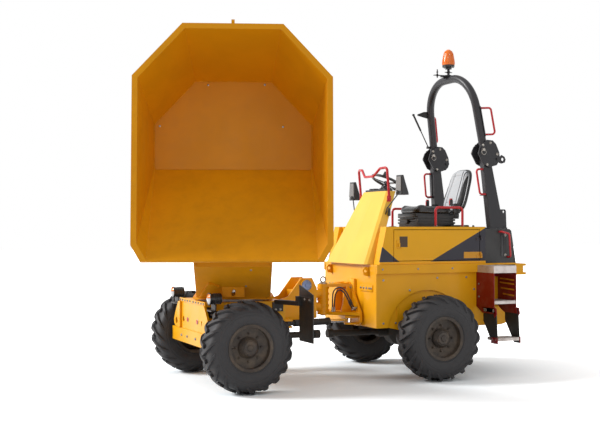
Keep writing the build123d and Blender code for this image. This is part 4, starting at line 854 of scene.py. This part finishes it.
# ---------------- seat
def pillow(outline, low, high, crown, place, name, fall=0.86):
    """A closed pad between two levels, from the middle of its foot round to its crown."""
    depth = high - low
    rings = [(0.30, low), (0.62, low), (0.90, low), (0.985, low + 0.08 * depth),
             (1.0, low + 0.34 * depth), (0.995, low + 0.62 * depth), (0.96, low + 0.86 * depth),
             (fall, high), (0.62, high + crown * 0.55), (0.30, high + crown * 0.9)]
    shape = Shape()
    made = [[shape.point(place @ Vector((x * scale, y * scale, z))) for x, y in outline]
            for scale, z in rings]
    shape.skin(made, caps=False)
    for ring, z in ((made[0], low), (made[-1], high + crown)):
        middle = shape.point(place @ Vector((0, 0, z)))
        for k in range(len(outline)):
            n = (k + 1) % len(outline)
            shape.bm.faces.new((ring[k], ring[n], middle))
    return shape.mesh(name)


def settled(piece):
    """The piece's mesh with its modifiers applied, and the modifiers removed."""
    bpy.context.view_layer.update()
    depsgraph = bpy.context.evaluated_depsgraph_get()
    mesh = bpy.data.meshes.new_from_object(piece.evaluated_get(depsgraph))
    piece.modifiers.clear()
    piece.data = mesh
    return mesh


def puff(piece, voxel, cap, pressure=4, frames=20):
    """Remesh a pad, blow it up as cloth, and cap how far each point moved."""
    remesh = piece.modifiers.new("remesh", "REMESH")
    remesh.mode = "VOXEL"
    remesh.voxel_size = voxel
    mesh = settled(piece)
    start = [v.co.copy() for v in mesh.vertices]
    cloth = piece.modifiers.new("cloth", "CLOTH")
    cloth.settings.use_pressure = True
    cloth.settings.uniform_pressure_force = pressure
    cloth.settings.effector_weights.gravity = 0
    for frame_number in range(1, frames + 1):
        bpy.context.scene.frame_set(frame_number)
    mesh = settled(piece)
    bpy.context.scene.frame_set(1)
    for vert, origin in zip(mesh.vertices, start):
        move = vert.co - origin
        if move.length > cap:
            vert.co = origin + move.normalized() * cap
    return mesh


def divide(piece):
    """One smooth subdivision, applied."""
    divided = piece.modifiers.new("divide", "SUBSURF")
    divided.levels = divided.render_levels = 1
    return settled(piece)


def press_seams(mesh, place, lines, depth, width):
    """Sewn channels: points near the lines, on the pad's face, sink in along the pad's normal."""
    spots, normals = np.empty(len(mesh.vertices) * 3), np.empty(len(mesh.vertices) * 3)
    mesh.vertices.foreach_get("co", spots)
    mesh.vertices.foreach_get("normal", normals)
    spots, normals = spots.reshape(-1, 3), normals.reshape(-1, 3)
    turn = np.array(place.to_3x3())
    local = (spots - np.array(place.translation)) @ turn
    near = np.full(len(spots), 1.0)
    for line in lines:
        for start, end in zip(line, line[1:]):
            start, run = np.array(start), np.array(end) - np.array(start)
            share = np.clip((local[:, :2] - start) @ run / (run @ run), 0, 1)
            near = np.minimum(near, np.linalg.norm(local[:, :2] - start - share[:, None] * run,
                                                   axis=1))
    faces_out = (normals @ turn[:, 2]) > 0.15
    sink = depth * np.exp(-(near / width) ** 2) * faces_out
    spots -= sink[:, None] * turn[:, 2]
    mesh.vertices.foreach_set("co", spots.ravel())
    mesh.update()


def rounded_outline(half_x, half_y, corner, count=72, taper=0.0):
    """A superellipse-like closed outline; taper draws in its far end along y."""
    points = []
    for k in range(count):
        turn = tau * k / count
        c, s = cos(turn), sin(turn)
        x = half_x * copysign(abs(c) ** corner, c)
        y = half_y * copysign(abs(s) ** corner, s)
        points.append((x * (1 - taper * (y / half_y + 1) / 2), y))
    return points


# cushion: local x is the width, y runs forward
cushion_place = (Matrix.Translation((-2.352, 0, 1.6515))
                 @ Matrix(((0, 1, 0, 0), (1, 0, 0, 0), (0, 0, 1, 0), (0, 0, 0, 1))))
cushion_mesh = pillow(rounded_outline(0.226, 0.226, 0.42), 0.004, 0.066, 0.006, cushion_place,
                      "seat_cushion_pad")
for vert in cushion_mesh.vertices:
    spot = cushion_place.inverted() @ vert.co
    if spot.z > 0.045:
        bolster = exp(-((abs(spot.x) - 0.172) / 0.045) ** 2)
        roll = exp(-((spot.y - 0.150) / 0.06) ** 2)
        vert.co.z += 0.016 * bolster + 0.010 * roll - 0.006
cushion = new_piece("seat_cushion_pad", cushion_mesh, REAR, "seat_foam")
cushion_mesh = puff(cushion, 0.006, 0.007)
cushion_mesh = divide(cushion)
press_seams(cushion_mesh, cushion_place,
            [[(x, -0.21), (x, 0.205)] for x in (-0.128, 0.128)]
            + [[(-0.128, y), (0.128, y)] for y in (-0.055, 0.075)], 0.0065, 0.0045)
smooth(cushion_mesh, 60)
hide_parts("seat_cushion")

# backrest: local x is the width, y runs up the back, z faces forward
lean = radians(17.5)
back_place = Matrix.Translation((-2.638, 0, 1.700)) @ Matrix((
    (0, -sin(lean), cos(lean), 0), (1, 0, 0, 0),
    (0, cos(lean), sin(lean), 0), (0, 0, 0, 1)))
back_middle = back_place @ Matrix.Translation((0, 0.228, -0.078))
PAD_X, PAD_Y, PAD_TAPER = 0.205, 0.236, 0.22


def pad_half(y):
    """Half the backrest pad's width at one height from its middle."""
    return PAD_X * (1 - PAD_TAPER * (y / PAD_Y + 1) / 2)


back_mesh = pillow(rounded_outline(PAD_X, PAD_Y, 0.55, taper=PAD_TAPER), 0.022, 0.066, 0.002,
                   back_middle, "seat_back_pad")
for vert in back_mesh.vertices:
    spot = back_middle.inverted() @ vert.co
    if spot.z > 0.05:
        bolster = exp(-((abs(spot.x) / pad_half(spot.y) - 0.76) / 0.16) ** 2)
        lumbar = exp(-((spot.y + 0.10) / 0.09) ** 2) * (1 - bolster)
        lift = 0.012 * bolster + 0.008 * lumbar - 0.006
        vert.co = back_middle @ Vector((spot.x, spot.y, spot.z + lift))
back = new_piece("seat_back_pad", back_mesh, REAR, "seat_fabric")
back_mesh = puff(back, 0.006, 0.006)
back_mesh = divide(back)
seams = []
for side in SIDES:
    for share in (0.50, 0.74, 0.93):
        seams.append([(side * share * pad_half(y) * (1 - 0.10 * (share < 0.6) * y / PAD_Y), y)
                      for y in (-0.215, -0.12, -0.03, 0.06, 0.14, 0.195)])
seams.append([(-0.095, 0.150), (-0.04, 0.162), (0.04, 0.162), (0.095, 0.150)])
seams.append([(-0.11, -0.145), (0.11, -0.145)])
press_seams(back_mesh, back_middle, seams, 0.006, 0.0042)
smooth(back_mesh, 60)
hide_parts("seat_back")

shell_mesh = pillow(rounded_outline(0.226, 0.246, 0.50, taper=0.20), 0.0, 0.040, 0.0, back_middle,
                    "seat_shell", 0.93)
shell = new_piece("seat_shell", shell_mesh, REAR, "black_plastic")
divide(shell)
divide(shell)
smooth(shell.data, 60)

seat = Shape()
for side in SIDES:
    # pivots and side covers at the foot of the back, belt stalks beside the cushion
    seat.slab((-2.640, -2.560), across(side, 0.205, 0.232), (1.655, 1.760), 0.008)
    seat.lathe((-2.605, side * 0.2315, 1.712), (0, side, 0),
               [(0, 0.026), (0.006, 0.026), (0.009, 0.022)], 28)
    seat.tube(rounded([(-2.560, side * 0.238, 1.640), (-2.545, side * 0.246, 1.690),
                       (-2.525, side * 0.240, 1.745)]), 0.007)
    seat.slab((-2.536, -2.500), across(side, 0.228, 0.252), (1.735, 1.800), 0.006)
seat.slab((-2.650, -2.120), (-0.196, 0.196), (1.612, 1.6555), 0.010)
# adjusting lever and weight knob under the cushion's front
seat.tube(rounded([(-2.135, -0.15, 1.600), (-2.115, -0.12, 1.596), (-2.108, 0.0, 1.594),
                   (-2.115, 0.12, 1.596), (-2.135, 0.15, 1.600)]), 0.006)
seat.lathe((-2.134, 0.0, 1.570), AHEAD, [(0, 0.026), (0.014, 0.026), (0.020, 0.020)], 12)
seat.finish("seat_fittings", REAR, "black_plastic")
buckles = Shape()
for side in SIDES:
    buckles.slab((-2.532, -2.504), across(side, 0.231, 0.249), (1.798, 1.812), 0.003)
    buckles.slab((-2.501, -2.497), across(side, 0.233, 0.247), (1.745, 1.790), 0.0015)
buckles.finish("belt_buttons", REAR, "red_paint")

# ---------------- console, wheel, mirrors
dash, faces = Shape(), Shape()
for y in (-0.150, -0.075, 0.075, 0.150):
    dash.lathe((-1.790, y, 1.9005), UP,
               [(0, 0.034), (0.010, 0.034), (0.014, 0.030), (0.012, 0.028)], 36)
    faces.lathe((-1.790, y, 1.9095), UP, [(0, 0.0275), (0.003, 0.0275), (0.0035, 0.026)], 36)
for k in range(5):
    y = -0.19 + 0.095 * k
    dash.slab((-1.822, -1.800), (y - 0.013, y + 0.013), (1.900, 1.909), 0.002)
dash.finish("dash_dials", REAR, "black_plastic")
faces.finish("dial_faces", REAR, "lamp_glass", material="dial_face")

wheel = Shape()
axis = Vector((-sin(radians(25.5)), 0, cos(radians(25.5))))
hub = Vector((-1.885, 0, 1.968))
wheel.lathe(hub + axis * 0.006, axis,
            [(0, 0.036), (0.004, 0.036), (0.010, 0.030), (0.013, 0.018)], 32)
side_axis = Vector(LEFT)
cross_axis = axis.cross(side_axis)
# finger grips along the inside of the rim
for c, s in around(36, 0.5):
    out = side_axis * c + cross_axis * s
    wheel.lathe(hub + axis * 0.014 + out * 0.1575 - out.cross(axis) * 0.0042, out.cross(axis),
                [(0, 0.0035), (0.0021, 0.0046), (0.0063, 0.0046), (0.0084, 0.0035)], 8)
wheel.finish("wheel_grips", "steering_wheel", "black_plastic")

plates, glass, joints = Shape(), Shape(), Shape()
for side, mirror_y, mirror_z in ((1, 0.500, 1.931), (-1, -0.545, 1.900)):
    # the housing leans back towards its foot, so the face follows its rear side
    top_z, foot_z = mirror_z + 0.090, mirror_z - 0.088
    glass.plate([(-1.7735, mirror_y - 0.046, top_z), (-1.7735, mirror_y + 0.046, top_z),
                 (-1.8270, mirror_y + 0.058, foot_z), (-1.8270, mirror_y - 0.058, foot_z)],
                (-0.0025, 0, -0.0008), 0.0008)
    plates.plate([(-1.7438, mirror_y - 0.045, top_z - 0.004),
                  (-1.7438, mirror_y + 0.045, top_z - 0.004),
                  (-1.7402, mirror_y + 0.056, foot_z + 0.030),
                  (-1.7402, mirror_y - 0.056, foot_z + 0.030)], (0.003, 0, 0), 0.001)
    joints.lathe((-1.742, mirror_y - side * 0.012, mirror_z - 0.070), UP,
                 [(-0.020, 0.010), (-0.012, 0.018), (0, 0.0215), (0.012, 0.018), (0.020, 0.010)])
    joints.lathe((-1.7155, side * 0.3525, 1.622), UP,
                 [(0, 0.011), (0.010, 0.016), (0.060, 0.014), (0.085, 0.0085)], 18)
glass.finish("mirror_glasses", REAR, "worn_steel", material="mirror")
plates.finish("mirror_fronts", REAR, "grey_plastic", material="grey_face")
joints.finish("mirror_joints", REAR, "black_plastic")

# ---------------- roll hoop
BEACON_X, MAST_X = -2.640, -2.500
PIN_X, PIN_Z = -2.695, 2.310
# the ends of the folding leg and of the post under it, on the left side
HOOP = (-2.765, 0.495, 2.268), (-2.640, 0.432, 3.100)
POST = (-2.866, 0.545, 1.490), HOOP[0]


def leg(ends, side, z):
    """The middle of a straight leg at one height."""
    foot, top = map(Vector, ends)
    spot = foot.lerp(top, (z - foot.z) / (top.z - foot.z))
    return Vector((spot.x, side * spot.y, z))


bars = Shape()
for side in SIDES:
    low = leg(HOOP, side, 2.455)
    way = Vector((-0.115, side * 0.092, 0)).normalized()
    run = leg(HOOP, side, 2.770) - low
    width = way.cross(run).normalized() * 0.024
    foot = low + way * 0.0425
    bars.plate([foot - width, foot + width, foot + width + run, foot - width + run], way * 0.007)
bars.finish("hoop_strips", "roll_hoop", "hoop_paint")
bars = Shape()
for side in SIDES:
    foot = leg(POST, side, 1.835) + Vector((0.0650, side * 0.020, 0))
    top = leg(POST, side, 2.125) + Vector((0.0520, side * 0.020, 0))
    half = Vector((0, 0.022, 0))
    bars.plate([foot - half, foot + half, top + half, top - half], (0.007, 0, 0))
bars.finish("post_strips", REAR, "hoop_paint")

# stay and its bracket on the far leg, lamp bracket and beacon clamp on the crown
stay = Shape()
root = leg(HOOP, -1, 2.765)
stay.plate([root + Vector(spot) for spot in
            ((0.030, -0.004, -0.040), (0.030, -0.004, 0.040), (0.090, 0, 0.036),
             (0.172, 0, 0.006), (0.172, 0, -0.010), (0.090, 0, -0.028))], (0, 0.008, 0))
tip, toe = Vector((-2.452, -0.4295, 2.758)), Vector((-2.668, -0.470, 2.405))
stay.tube([tip, tip + (toe - tip) * 0.48], 0.0105, 14)
stay.tube([tip + (toe - tip) * 0.46, toe], 0.006, 12)
for spot in (tip, toe):
    stay.lathe(spot - Vector((0, 0.012, 0)), LEFT,
               [(0, 0.010), (0.003, 0.012), (0.021, 0.012), (0.024, 0.010)], 18)
stay.slab((toe.x - 0.06, toe.x + 0.015), (toe.y - 0.018, toe.y - 0.010), (2.392, 2.418), 0.002)
stay.slab((BEACON_X, MAST_X + 0.04), (-0.020, 0.020), (3.143, 3.149), 0.0015)
stay.lathe((MAST_X, 0, 3.118), UP, [(0, 0.006), (0.090, 0.006), (0.092, 0.004)], 12)
for z in (3.134, 3.150, 3.176):
    stay.lathe((MAST_X, 0, z), UP, [(0, 0.0115), (0.009, 0.0115)], 6)
stay.lathe((BEACON_X, 0, 3.148), UP, [(0, 0.030), (0.006, 0.030), (0.008, 0.026)], 28)
stay.lathe((BEACON_X, 0, 3.176), UP, [(0, 0.020), (0.010, 0.024), (0.018, 0.020)], 20)
stay.tube([(-2.685, 0, 3.184), (-2.595, 0, 3.184)], 0.0048, 10)
for c, s in around(8, 0.5):
    stay.lathe((BEACON_X + 0.052 * c, 0.052 * s, 3.2385), DOWN,
               [(0, 0.006), (0.004, 0.006), (0.006, 0.004)], 10)
stay.finish("hoop_brackets", "roll_hoop", "black_paint")

ribs = Shape()
for c, s in around(28):
    ribs.tube([Vector((BEACON_X, 0, z)) + Vector((c, s, 0)) * r for z, r in
               ((3.270, 0.0672), (3.300, 0.0662), (3.3425, 0.0592), (3.385, 0.0518),
                (3.412, 0.0376))], 0.0022, 6)
ribs.finish("beacon_ribs", "roll_hoop", "beacon_amber")

# fold joint: pin heads, rings and bolts on both faces of the cheeks, a ring eye behind each
folds = Shape()
for side in SIDES:
    middle = side * HOOP[0][1]
    for face in SIDES:
        y = middle + face * 0.068
        for dx, dz in ((-0.030, 0.105), (0.060, 0.080), (-0.115, -0.010), (0.010, -0.120)):
            folds.bolt((HOOP[0][0] + dx, y, 2.280 + dz), (0, face, 0), 0.010)
        y = middle + face * 0.0965
        folds.lathe((PIN_X, y, PIN_Z), (0, face, 0),
                    [(-0.002, 0.016), (0.006, 0.016), (0.009, 0.012)], 20)
        folds.tube([(PIN_X + 0.026 * s, y + face * 0.004, PIN_Z - 0.026 + 0.026 * c)
                    for c, s in around(28) + [(1, 0)]], 0.0028, 8)
folds.finish("fold_fasteners", REAR, "worn_steel")
eyes = Shape()
for side in SIDES:
    y = side * 0.5505
    eyes.eye_plate([(-2.900, y, 2.225), (-2.905, y, 2.180), (-2.935, y, 2.172), (-2.975, y, 2.185),
                    (-2.985, y, 2.215), (-2.970, y, 2.245), (-2.935, y, 2.262)],
                   (-2.947, y, 2.216), 0.017, (0, side * 0.012, 0))
eyes.finish("fold_eyes", REAR, "hoop_paint")

# ---------------- swivel frame and skip
fasteners = Shape()
normal = Vector((0.3502, 0.9367, 0))
fasteners.bolt(Vector((0.0289, 0.5548, 0.9165)) - normal * 0.006, normal, 0.015)
slope = Vector((0.1679, 0.449, -0.8776))
fasteners.bolts(((-0.0682, 0.6115, 0.9635), (-0.0064, 0.9007, 1.1233)), slope, 0.008)
fasteners.bolt_circle((SWIVEL_X, 0, 0.8462), UP, 0.315, 16, 0.009)
fasteners.finish("swivel_bolts", "swivel_frame", "worn_steel")

liner_bolts = Shape()
face = Vector((0.3449, 0.9224, 0.1736))
for spot in ((0.2128, 0.3513, 2.8438), (-0.2856, 0.5365, 2.8500), (0.6566, 0.2598, 2.4486),
             (-0.4180, 0.6640, 2.4480)):
    liner_bolts.lathe(spot, face,
                      [(-0.001, 0.011), (0.003, 0.010), (0.006, 0.006), (0.007, 0.002)], 16)
liner_bolts.finish("liner_bolts", "skip", "worn_steel")

# ---------------- wheels: hub caps and valves
for corner, side in CORNERS:
    low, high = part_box(f"rim_{corner}")
    centre = (low + high) / 2
    spot = Vector((centre.x, side * 0.897, centre.z))
    outward = Vector((0, side, 0))
    caps = Shape()
    caps.lathe(spot - outward * 0.002, outward,
               [(0, 0.062), (0.008, 0.062), (0.012, 0.057), (0.012, 0.030), (0.018, 0.028),
                (0.021, 0.020)], 40)
    caps.bolt_circle(spot - outward * 0.001, outward, 0.060, 10, 0.0055)
    # stud ends standing out of the wheel nuts
    for c, s in around(8):
        caps.lathe((centre.x + 0.125 * c, side * 0.861, centre.z + 0.125 * s), outward,
                   [(0, 0.0072), (0.012, 0.0072), (0.014, 0.0055)], 12)
    valve = Vector((centre.x + 0.172, side * 0.852, centre.z))
    caps.tube(rounded([valve, valve + outward * 0.020 - Vector((0.004, 0, 0)),
                       valve + outward * 0.045 - Vector((0.016, 0, 0))]), 0.0045, 10)
    caps.finish(f"hub_{corner}_cap", f"wheel_{corner}", "rim_paint")

low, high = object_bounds()
